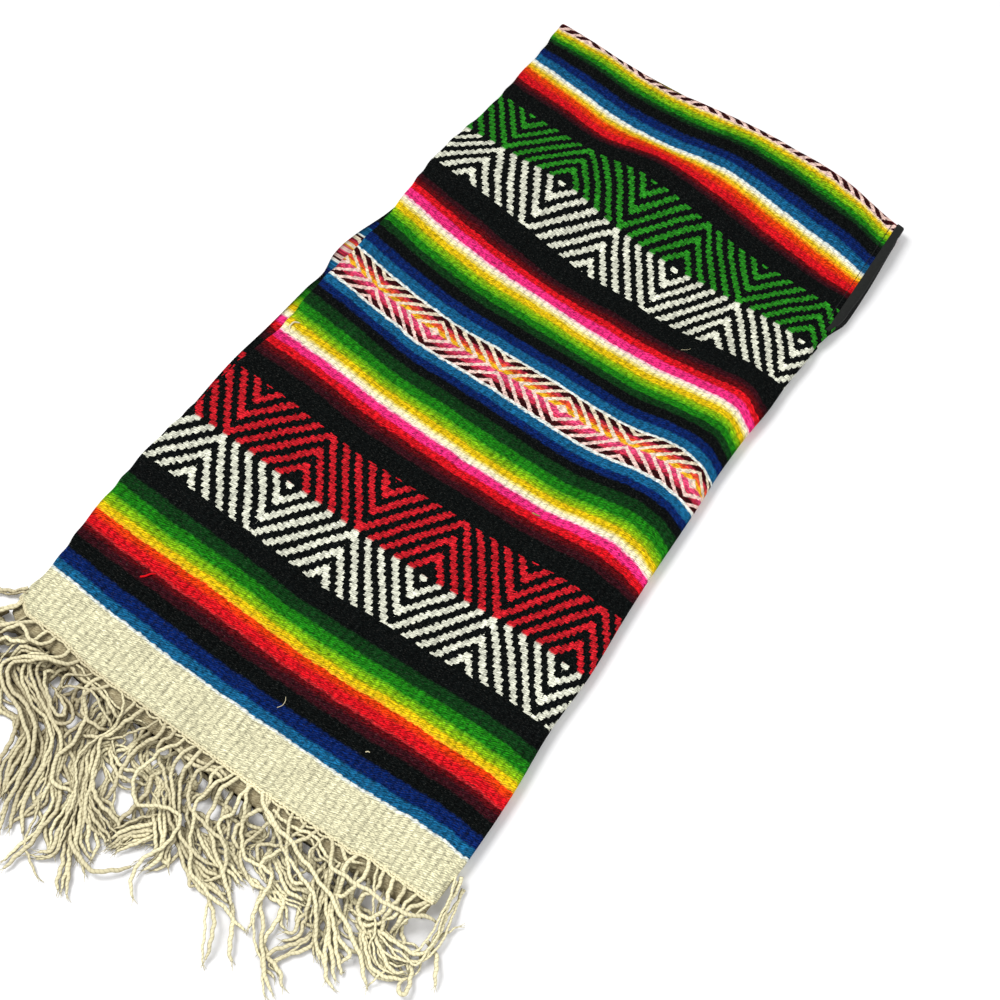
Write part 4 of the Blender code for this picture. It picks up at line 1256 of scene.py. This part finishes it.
# %% Strands
CORD_RADIUS = 1.45
CORD_POINTS, CORD_SIDES = 60, 7
Strand = namedtuple("Strand", "cords lift points gap", defaults=(3.0,))
TOP_STRANDS = (
    # The loose tangle of the near corner.
    Strand(2, 1, ((0, 18), (-10, 12), (-20, 8), (-32, 3), (-44, -6))),
    Strand(2, 3, ((2, 10), (0, 3), (-5, -4), (-16, -10), (-28, -22), (-34, -40)), 3.5),
    Strand(1, 4, ((12, 1), (10, -5), (5, -14), (-4, -22), (-18, -26), (-30, -20))),
    Strand(1, 5, ((20, 1), (13, -4), (8, -9), (2, -17), (-8, -30), (-24, -42))),
    Strand(1, 4, ((30, 1), (27, -8), (20, -15), (12, -16), (8, -22), (14, -30), (4, -44))),
    Strand(1, 6, ((37, 1), (37, -4), (31, -8), (24, -8), (17, -5), (12, -8), (5, -18))),
    # The bunch that swings out from the near third and comes back.
    Strand(1, 6, ((50, 0), (51, -5), (47, -10), (38, -16), (24, -24), (22, -32), (32, -42), (46, -46),
        (60, -53), (72, -62), (78, -76), (80, -94))),
    Strand(1, 7, ((61, 0), (58, -6), (48, -12), (34, -20), (27, -26), (28, -34), (40, -41), (56, -44),
        (68, -52), (77, -64), (82, -82), (88, -106))),
    Strand(5, 2, ((46, -13), (36, -14), (27, -17), (26, -27), (38, -36), (56, -42), (70, -50), (80, -62),
        (86, -80), (92, -100), (98, -112)), 3.2),
    Strand(3, 4, ((52, -13), (42, -15), (34, -19), (40, -29), (54, -35), (68, -40), (80, -49), (88, -60),
        (95, -72), (98, -90))),
    Strand(2, 5, ((58, -13), (50, -14), (44, -19), (52, -27), (64, -33), (75, -37), (79, -33), (73, -27),
        (62, -23), (54, -23)), 3.4),
    Strand(4, 3, ((52, -44), (64, -56), (68, -70), (72, -88), (80, -100)), 3.4),
    Strand(1, 5, ((74, 0), (72, -5), (66, -10), (62, -16), (64, -21), (70, -17), (80, -13), (92, -16),
        (107, -23), (118, -34))),
    Strand(1, 5, ((80, 0), (77, -10), (83, -21), (90, -30), (93, -46), (92, -60), (100, -71), (112, -70),
        (120, -67))),
    Strand(1, 6, ((88, 0), (86, -5), (80, -16), (83, -24), (90, -27), (102, -27), (110, -22))),
    Strand(3, 2, ((94, -13), (91, -19), (92, -30), (90, -46), (94, -62), (104, -74), (116, -78)), 2.8),
    # The thick bunch below the first third, spreading in two.
    Strand(1, 7, ((95, 0), (102, -5), (108, -12), (109, -20), (106, -30), (102, -44), (106, -56),
        (118, -70), (124, -88), (131, -104))),
    Strand(1, 6, ((108, 0), (109, -8), (108, -22), (107, -34), (114, -46), (122, -62), (130, -76),
        (138, -90))),
    Strand(1, 6, ((116, 0), (115, -8), (113, -16), (108, -28), (100, -35), (92, -37))),
    Strand(1, 4, ((129, 0), (127, -8), (122, -17), (114, -25), (106, -34), (110, -46), (118, -60),
        (124, -78), (130, -98), (130, -109), (118, -115))),
    Strand(4, 4, ((112, -26), (108, -38), (116, -52), (122, -66), (130, -80), (142, -94),
        (156, -101)), 2.6),
    Strand(5, 5, ((106, -36), (114, -52), (121, -64), (132, -70), (146, -75), (155, -79)), 2.4),
    Strand(3, 3, ((104, -40), (112, -56), (118, -72), (122, -90), (128, -104), (122, -113)), 2.4),
    Strand(1, 6, ((124, -80), (132, -92), (146, -99), (158, -100), (168, -93), (174, -84))),
    Strand(3, 2, ((126, -86), (136, -99), (144, -109), (150, -119), (153, -122)), 2.2),
    Strand(2, 2, ((100, -70), (110, -80), (113, -94), (113, -108), (110, -130))),
    Strand(1, 2, ((98, -80), (106, -96), (112, -112), (120, -116), (132, -123))),
    Strand(2, 3, ((113, -30), (119, -37), (130, -41), (144, -38), (152, -34))),
    Strand(2, 2, ((126, -20), (127, -34), (134, -45), (146, -42)), 4.0),
    Strand(2, 1, ((60, -5), (74, -9), (90, -8), (106, -12), (122, -11)), 2.6),
    Strand(2, 1, ((150, -8), (166, -10), (182, -7), (196, -11)), 2.4),
    Strand(2, 1, ((226, -6), (240, -9), (256, -7), (272, -10), (286, -8)), 2.8),
    # Single cords across the middle.
    Strand(1, 4, ((133, 0), (136, -9), (131, -20), (128, -32), (132, -48), (134, -64))),
    Strand(1, 5, ((142, 0), (142, -7), (140, -13), (146, -22), (156, -28), (166, -36), (174, -46),
        (186, -56), (187, -66), (194, -72))),
    Strand(1, 8, ((150, 0), (150, -6), (147, -13), (143, -21), (140, -36), (144, -46), (154, -52),
        (162, -48), (171, -43), (181, -44), (185, -55), (183, -66), (178, -80), (180, -90), (188, -99))),
    Strand(1, 4, ((150, -24), (148, -34), (153, -44), (151, -60), (150, -74))),
    Strand(1, 6, ((160, 0), (157, -8), (156, -16), (158, -24), (168, -35), (180, -46), (190, -53),
        (204, -56), (218, -54))),
    Strand(1, 3, ((164, 0), (164, -10), (164, -20), (170, -32), (178, -42), (176, -52))),
    Strand(3, 3, ((174, -44), (168, -54), (160, -63), (155, -74), (153, -84))),
    Strand(4, 2, ((180, -46), (172, -60), (164, -70), (158, -82)), 2.6),
    Strand(3, 5, ((160, -42), (170, -51), (180, -60), (184, -70), (178, -82)), 2.8),
    Strand(1, 6, ((175, 0), (174, -8), (172, -17), (174, -27), (183, -35), (198, -38), (212, -40),
        (221, -47), (224, -57), (218, -66))),
    Strand(1, 3, ((183, 0), (180, -10), (184, -20), (178, -30), (186, -42), (198, -48))),
    Strand(1, 7, ((191, 0), (189, -8), (185, -18), (183, -29), (190, -43), (199, -56), (208, -66),
        (222, -70), (240, -72), (257, -75))),
    Strand(1, 5, ((195, 0), (192, -12), (192, -22), (196, -35), (208, -44), (222, -54), (232, -60),
        (240, -68))),
    Strand(4, 3, ((186, -40), (198, -48), (212, -53), (226, -52), (238, -56))),
    Strand(3, 2, ((184, -50), (196, -58), (208, -64), (222, -66), (236, -64))),
    Strand(1, 1, ((176, -58), (186, -68), (192, -70), (188, -62))),
    Strand(1, 2, ((200, -56), (206, -66), (212, -73), (216, -70))),
    Strand(1, 6, ((201, 0), (206, -7), (214, -21), (221, -32), (230, -39), (244, -38), (252, -40),
        (254, -56), (258, -72))),
    Strand(1, 4, ((205, 0), (204, -10), (206, -20), (202, -30), (210, -38), (222, -42))),
    # Two long cords that lie across the others, towards the fold.
    Strand(1, 8, ((212, 0), (220, -7), (232, -13), (250, -17), (268, -22), (288, -28), (306, -36),
        (318, -42), (330, -50), (339, -58))),
    Strand(1, 8, ((216, 0), (224, -10), (236, -16), (252, -24), (270, -30), (282, -35), (290, -45),
        (298, -55), (306, -63))),
    Strand(1, 4, ((220, 0), (221, -8), (216, -18), (213, -28), (220, -36), (228, -34))),
    Strand(1, 5, ((227, 0), (230, -9), (228, -20), (224, -32), (230, -44), (244, -50))),
    Strand(1, 6, ((237, 0), (241, -9), (247, -18), (257, -30), (264, -34), (274, -29), (282, -30))),
    Strand(1, 4, ((248, 0), (248, -10), (243, -20), (232, -28), (238, -36), (248, -34))),
    Strand(1, 6, ((258, 0), (255, -7), (250, -16), (243, -27), (241, -37), (250, -44))),
    Strand(1, 4, ((264, 0), (262, -12), (266, -22), (262, -32), (270, -38))),
    Strand(3, 3, ((244, -26), (254, -31), (264, -38), (276, -34), (286, -38)), 2.8),
    Strand(2, 6, ((222, -68), (230, -76), (240, -89), (247, -100), (251, -108)), 2.6),
    Strand(1, 4, ((240, -66), (250, -78), (257, -90), (262, -94))),
    Strand(1, 3, ((262, -38), (268, -50), (270, -62), (272, -80))),
    Strand(2, 3, ((250, -50), (258, -62), (268, -75), (282, -87), (296, -100))),
    Strand(1, 3, ((270, -74), (280, -79), (292, -84), (297, -88))),
    # The bunch that hangs below the far third.
    Strand(3, 5, ((274, -11), (277, -18), (280, -27), (284, -39), (290, -52)), 2.8),
    Strand(4, 4, ((282, -8), (288, -24), (296, -40), (306, -54), (318, -66), (324, -68)), 3.2),
    Strand(2, 2, ((290, -34), (282, -50), (284, -58), (277, -66))),
    Strand(3, 2, ((294, -48), (293, -60), (286, -72), (282, -82), (290, -84)), 2.4),
    Strand(1, 5, ((298, -36), (310, -46), (320, -50), (318, -58))),
    Strand(1, 7, ((268, 0), (274, -7), (281, -15), (294, -14), (316, -13), (332, -12), (344, -6),
        (353, -3))),
    Strand(1, 3, ((274, 2), (284, -4), (292, -1))),
    Strand(1, 5, ((288, 3), (286, -8), (290, -18), (294, -28), (304, -34))),
    Strand(1, 6, ((295, 5), (299, -4), (299, -14), (294, -24), (284, -28))),
    Strand(1, 6, ((302, 5), (307, -6), (315, -18), (324, -28), (328, -42))),
    Strand(1, 5, ((307, 5), (310, -8), (306, -20), (314, -30), (326, -32))),
    Strand(1, 5, ((315, 5), (318, -6), (322, -16), (316, -25), (304, -27))),
    Strand(1, 5, ((324, 5), (326, -5), (325, -20), (332, -30))),
    Strand(1, 5, ((334, 5), (331, -6), (329, -17), (320, -27), (308, -32))),
    Strand(2, 4, ((344, 6), (340, -2), (336, -12), (335, -25)), 2.4),
    # The far corner's bunch, turned back under itself.
    Strand(2, 5, ((349, 30), (352, 14), (357, 0), (358, -14), (352, -25), (338, -27), (324, -27),
        (312, -34))),
    Strand(2, 4, ((356, 26), (359, 8), (361, -10), (360, -26), (348, -34), (334, -33), (320, -26),
        (306, -24)), 2.8),
    Strand(1, 6, ((350, 26), (355, 6), (359, -12), (358, -30), (346, -31), (330, -30))),
    Strand(4, 3, ((316, -24), (326, -33), (338, -41), (350, -41), (358, -34)), 2.8),
    Strand(2, 2, ((312, -26), (322, -38), (334, -46), (348, -45), (356, -40))),
    Strand(1, 5, ((356, -14), (364, -18), (369, -24), (375, -34))),
    Strand(1, 4, ((354, -30), (360, -40), (363, -48), (358, -50), (356, -42))),
    Strand(1, 4, ((332, -38), (344, -43), (342, -50), (340, -56))),
    Strand(1, 3, ((359, -14), (362, -4), (367, 4))),
)
UNDER_STRANDS = (
    Strand(3, 0, ((20, 0), (8, -14), (-8, -28), (-22, -52), (-16, -70)), 6.0),
    Strand(3, 0, ((48, 0), (40, -18), (40, -34), (60, -52), (70, -80)), 6.0),
    Strand(3, 0, ((100, 0), (108, -20), (98, -36), (112, -56), (118, -80), (122, -100)), 6.0),
    Strand(3, 0, ((154, 0), (164, -20), (158, -36), (170, -50), (164, -66), (150, -80)), 6.0),
    Strand(3, 0, ((8, 0), (-4, -22), (-14, -44), (6, -64), (34, -80), (56, -100)), 8.0),
    Strand(3, 0, ((34, 0), (28, -20), (26, -36), (52, -46), (76, -66), (90, -100)), 8.0),
    Strand(3, 0, ((60, 0), (62, -26), (80, -42), (96, -66), (106, -90), (114, -112)), 8.0),
    Strand(3, 0, ((88, 0), (92, -24), (104, -44), (120, -62), (138, -80), (148, -98)), 8.0),
    Strand(3, 0, ((112, 0), (120, -22), (110, -40), (126, -58), (140, -70), (156, -78)), 8.0),
    Strand(3, 0, ((140, 0), (134, -22), (150, -36), (164, -50), (176, -60), (170, -72)), 8.0),
    Strand(3, 0, ((168, 0), (180, -20), (174, -36), (196, -46), (212, -54), (236, -58)), 8.0),
    Strand(3, 0, ((196, 0), (204, -22), (216, -34), (206, -48), (226, -58), (240, -62)), 8.0),
    Strand(3, 0, ((222, 0), (234, -20), (228, -34), (250, -40), (268, -42), (286, -50)), 8.0),
    Strand(3, 0, ((250, 0), (262, -18), (280, -28), (296, -40), (304, -54), (314, -62)), 8.0),
    Strand(3, 0, ((282, 0), (292, -20), (306, -32), (322, -38), (334, -40)), 8.0),
    Strand(3, 0, ((314, 0), (326, -18), (340, -28), (352, -32), (356, -40)), 8.0),
)
print(sum(strand.cords for strand in TOP_STRANDS), "cords lie on top")


# %% Cord paths
# The waves of a cord: how far each goes sideways and how long it is, in mm.
TOP_WAVES = ((0.35, 8.0), (0.5, 21.0))
UNDER_WAVES = ((0.5, 9.0), (2.0, 31.0), (5.0, 80.0))


def through(points, count):
    """That many places on a smooth curve through the points, evenly spaced, and its sides."""
    points = np.array(points, float)
    padded = np.vstack([2 * points[0] - points[1], points, 2 * points[-1] - points[-2]])
    t = np.linspace(0, len(points) - 1, 400)
    i = np.minimum(t.astype(int), len(points) - 2)
    curve = curved(*(padded[i + n] for n in range(4)), (t - i)[:, None])
    run = run_of(curve)
    even = np.linspace(0, run[-1], count)
    curve = np.column_stack([np.interp(even, run, curve[:, n]) for n in (0, 1)])
    ahead = np.gradient(curve, axis=0)
    ahead /= np.linalg.norm(ahead, axis=1)[:, None]
    return curve, np.column_stack([-ahead[:, 1], ahead[:, 0]]), run[-1]


def support(x, y):
    """The height of the hidden layers' edge under a place near the hem."""
    inside = smooth((y + 25) / 12) * smooth((x + 10) / 9) * smooth((358 - x) / 9)
    return (STACK - CLOTH - SEAM) * inside


def waves(luck, run, sizes):
    """A sideways wobble along a cord: one wave for each (size, length)."""
    return sum(
        size * luck.uniform(0.5, 1.3) * np.sin(2 * math.pi * (run / long + luck.random()))
        for size, long in sizes
    )


def cord_paths(luck, strands, hem, level, sizes):
    """Points along each cord of the strands, root to tip, in mm."""
    paths = []
    t = np.linspace(0, 1, CORD_POINTS)
    for strand in strands:
        (root, first), *rest = strand.points
        # A line that starts at the hem is rooted in it. One that starts just past it, where a bunch
        # gathers, comes up from the floor below.
        rooted = -1 < first < 7
        gathered = -16 < first < -9
        for i in range(strand.cords):
            offset = (i - (strand.cords - 1) / 2) * strand.gap
            at = root + offset * 1.5
            start = (at, hem(at)) if rooted else (root, first)
            curve, sides, length = through([start, *rest], CORD_POINTS)
            run = t * length
            easing = smooth(run / 14) if rooted else 1.0
            wobble = waves(luck, run, sizes)
            if strand.cords > 1:
                wobble = wobble + offset * (1 + 0.4 * np.sin(run / 17 + i)) * (0.75 + 0.5 * t)
                wobble = wobble + waves(luck, run, ((strand.gap * 0.45, 48.0),))
            line = curve + sides * (easing * wobble)[:, None]
            cut = luck.uniform(0.86, 1.0) if strand.cords > 1 else 1.0
            line = np.column_stack([np.interp(t * cut, t, line[:, n]) for n in (0, 1)])
            lying = strand.lift * smooth(run / 25) * (1 - 0.7 * smooth(t * 4 - 3))
            lying = lying + luck.uniform(0, 1.6) + 0.5 * np.sin(run / 11 + i)
            z = support(*line.T) * level + lying + CORD_RADIUS + 0.2
            if gathered:
                z = mix(np.full(CORD_POINTS, CORD_RADIUS + 1.5), z, smooth(run / 12))
            if rooted:
                z = mix(np.full(CORD_POINTS, level * support(150.0, 0.0) + 1.3), z, smooth(run / 6))
            paths.append(np.column_stack([line, np.maximum(z, CORD_RADIUS + 0.05)]))
    return paths


# %% Cords
SPLIT_SHARE, SPLIT_WIDTH = 0.22, 0.62  # how many cords have lost a ply, and how thick they are left


def unravelled(path, luck):
    """A few loose fibres at a cord's tip."""
    tip, run = path[-1], path[-1] - path[-3]
    run = run / np.linalg.norm(run)
    fibres = []
    for _ in range(3):
        t = np.linspace(0, 1, 5)[:, None]
        aside = np.array([-run[1], run[0], 0]) * luck.uniform(-0.5, 0.5)
        points = tip - run * 2 + (run + aside * t) * luck.uniform(4, 8) * t
        points[:, 2] = np.maximum(points[:, 2] + luck.uniform(-0.5, 0.6), 0.7)
        fibres.append(tube(points, 0.4, 4, 0.3))
    return fibres


def twined_hem():
    """Two fine cords twined along the hem, to hold the last pick of weft. One sags in places."""
    x = np.linspace(-1.0, edge("fold", 0.0) - 1.5, 420)
    z = stack_height(x, 0.0) - 0.9
    sags = np.abs(np.sin(math.pi * x / 11.5 + 0.6 * np.sin(x / 23)))
    sags = sags * (0.9 + 1.3 * smooth(np.sin(x / 19 + 1.0))) * smooth((x - 22) / 8)
    beads = 0.35 * np.sin(x * 1.9)
    straight = np.column_stack([x, hem_line(x) - 0.5 + beads, z + 0.35])
    sagging = np.column_stack([x, hem_line(x) - 1.3 - sags, z - 0.1 - 0.3 * sags])
    return [tube(straight, 1.0, 6, 1.0), tube(sagging, 1.1, 6, 1.0)]


def make_fringe(name, paths, luck, extra=()):
    tubes = list(extra)
    for turns, path in enumerate(paths):
        split = luck.random() < SPLIT_SHARE
        thick = CORD_RADIUS * (SPLIT_WIDTH if split else luck.uniform(0.9, 1.1))
        path[:, 2] = np.maximum(path[:, 2], thick + 0.15)
        tubes.append(tube(path, thick, CORD_SIDES, turns=turns))
        tubes += unravelled(path, luck)
    return join_tubes(name, tubes)


def hidden_hem(x):
    return hem_line(x) + UNDER_HEM - 1.0


luck = np.random.default_rng(7)
top_paths = cord_paths(luck, TOP_STRANDS, hem_line, 1.0, TOP_WAVES)
under_paths = []
for level in (0.6, 0.1):
    under_paths += cord_paths(luck, UNDER_STRANDS, hidden_hem, level, UNDER_WAVES)
fringe_top = make_fringe("fringe_cords_top", top_paths, luck, twined_hem())
fringe_under = make_fringe("fringe_cords_under", under_paths, luck)
print(len(top_paths) + len(under_paths), "cords")

# %% [markdown]
# ## Undyed cord
#
# The warps are undyed two-ply yarn of cotton and wool, spun by hand: pale straw, greyer where it has
# been handled, with a slanting groove between its plies. No two cords are quite the same colour.
# Painted shade darkens the groove, each cord's sides and the cords that lie deep in the tangle.

# %% Warp cord
TWIST = 2.9  # mm from one ply to the next along a cord


def warp_cord():
    material, tree = new_material("undyed warp yarn, two-ply twisted")
    place = add(tree, "UVMap", uv_map="weave")
    parts = add(tree, "SeparateXYZ", place)
    round_ = add(tree, "Math.MULTIPLY", parts.outputs[0], 10.0)
    cord = add(tree, "Math.FLOOR", round_)
    chance = add(tree, "TexWhiteNoise", named={"W": cord}, noise_dimensions="1D")
    turn = add(tree, "Math.MULTIPLY", round_, 2.0)
    twist = add(tree, "Math.MULTIPLY_ADD", parts.outputs[1], 1000 / TWIST, turn)
    ply = add(tree, "Math.MULTIPLY", twist, math.pi)
    ply = add(tree, "Math.SINE", ply)
    ply = add(tree, "Math.ABSOLUTE", ply)
    ply = add(tree, "Math.POWER", ply, 0.45)
    where = add(tree, "TexCoord").outputs["Object"]
    tint = add(tree, "TexNoise", named={"Vector": where, "Scale": 22.0, "Detail": 3.0})
    spread = add(tree, "SeparateXYZ", where)
    # The cords are yellower towards the fold and greyer towards the selvedge.
    right = add(tree, "Math.MULTIPLY_ADD", spread.outputs["X"], 2.6, 0.5)
    blend = add(tree, "Math.MULTIPLY_ADD", tint, 1.5, -0.75)
    blend = add(tree, "Math.ADD", blend, right)
    blend = add(tree, "Math.MULTIPLY_ADD", chance, 0.6, blend)
    blend = add(tree, "Math.ADD", blend, -0.15, use_clamp=True)
    grey, straw = linear("#BDB393"), linear("#F2EAC2")
    fibre = add(tree, "Mix", blend, named={6: grey, 7: straw}, data_type="RGBA")
    fuzz = add(tree, "TexNoise", named={"Vector": where, "Scale": 900.0, "Detail": 2.0})
    # Painted shade in the groove between the plies.
    shade = add(tree, "Math.MULTIPLY_ADD", ply, 0.6, 0.26)
    shade = add(tree, "Math.MULTIPLY_ADD", fuzz, 0.5, shade)
    # Painted shade where cords crowd together, from ambient occlusion.
    crowd = add(tree, "AmbientOcclusion", named={"Distance": 0.014}, samples=8)
    deep = add(tree, "Math.POWER", crowd.outputs["AO"], 2.0)
    # Painted shade: its sides, which turn from the light, are darker.
    surface = add(tree, "NewGeometry")
    slope = add(tree, "SeparateXYZ", surface.outputs["Normal"])
    side = add(tree, "Math.MULTIPLY_ADD", slope.outputs["Z"], 0.55, 0.55)
    shade = add(tree, "Math.MULTIPLY", shade, side)
    # Painted light: the shade is shallower towards the fold.
    least = add(tree, "Math.MULTIPLY_ADD", right, 0.3, 0.2)
    deep = add(tree, "Math.ADD", deep, least, use_clamp=True)
    shade = add(tree, "Math.MULTIPLY", shade, deep, use_clamp=True)
    # The dark brown that the painted shade mixes towards.
    shaded = linear("#5E4E2C")
    colour = add(tree, "Mix", shade, named={6: shaded, 7: fibre.outputs[2]}, data_type="RGBA")
    relief = add(tree, "Bump", named={"Strength": 0.6, "Distance": 0.0005, "Height": ply})
    finish(tree, colour.outputs[2], 0.9, 0.1, relief)
    return material


cord_yarn = warp_cord()
for piece in (fringe_top, fringe_under):
    piece.data.materials.append(cord_yarn)

# %% [markdown]
# ## Floor and light
#
# White paper under two large soft lamps, with pale light all round, shows dyed wool as it is.

# %% Floor, lamps, world
FLOOR_HALF, SKY = 6.0, 0.62  # half the floor's side in metres, and the strength of the light round


def make_stage():
    mesh = bpy.data.meshes.new("floor")
    corners = [(x * FLOOR_HALF, y * FLOOR_HALF, 0) for x, y in ((-1, -1), (1, -1), (1, 1), (-1, 1))]
    mesh.from_pydata(corners, [], [(0, 1, 2, 3)])
    floor = bpy.data.objects.new("floor", mesh)
    bpy.context.scene.collection.objects.link(floor)
    material, tree = new_material("white paper, matt")
    grain = add(tree, "TexNoise", named={"Scale": 400.0, "Detail": 2.0})
    shades = {6: linear("#F4F4F5"), 7: linear("#F8F8F8")}
    paper = add(tree, "Mix", grain, named=shades, data_type="RGBA")
    finish(tree, paper.outputs[2], 0.9, 0.1)
    mesh.materials.append(material)
    floor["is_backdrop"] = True
    return floor


Lamp = namedtuple("Lamp", "name x y z size watts")
LAMPS = (
    Lamp("key", -0.9, -0.35, 1.6, 0.9, 27.0),
    Lamp("fill", 1.4, -1.0, 1.8, 1.6, 12.0),
)


def make_lights():
    for lamp in LAMPS:
        data = bpy.data.lights.new(lamp.name, "AREA")
        data.shape, data.size, data.energy = "DISK", lamp.size, lamp.watts
        light = bpy.data.objects.new(lamp.name, data)
        light.matrix_world = facing(np.array([lamp.x, lamp.y, lamp.z]), np.zeros(3))
        bpy.context.scene.collection.objects.link(light)
    world = bpy.data.worlds.new("studio")
    world.use_nodes = True
    sky = world.node_tree.nodes["Background"]
    sky.inputs["Color"].default_value = (1, 1, 1, 1)
    sky.inputs["Strength"].default_value = SKY
    bpy.context.scene.world = world


floor = make_stage()
make_lights()
bpy.context.scene.view_settings.view_transform = "Standard"

# %% [markdown]
# ## Which piece stands for which solid
#
# Every piece rides on the one body and takes the place of its solid. The table also gives a
# finish's name for each piece.

# %% Pieces and finish
Piece = namedtuple("Piece", "piece node slot")
PIECES = (
    Piece(cloth_top, "cloth_top", "striped_cloth"),
    Piece(cloth_under, "cloth_under", "striped_cloth"),
    Piece(tape_top, "neck_tape_top", "binding_tape"),
    Piece(tape_under, "neck_tape_under", "binding_tape"),
    Piece(fringe_top, "fringe_top", "warp_cords"),
    Piece(fringe_under, "fringe_under", "warp_cords"),
)
for piece, node, slot in PIECES:
    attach(piece, "root")
    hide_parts(node)

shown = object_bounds()
boxes = {"cad": [list(corner) for corner in cad_box], "visual": [list(corner) for corner in shown]}
for name, (low, high) in boxes.items():
    print(name, [round((b - a) / MM, 1) for a, b in zip(low, high)], "mm")
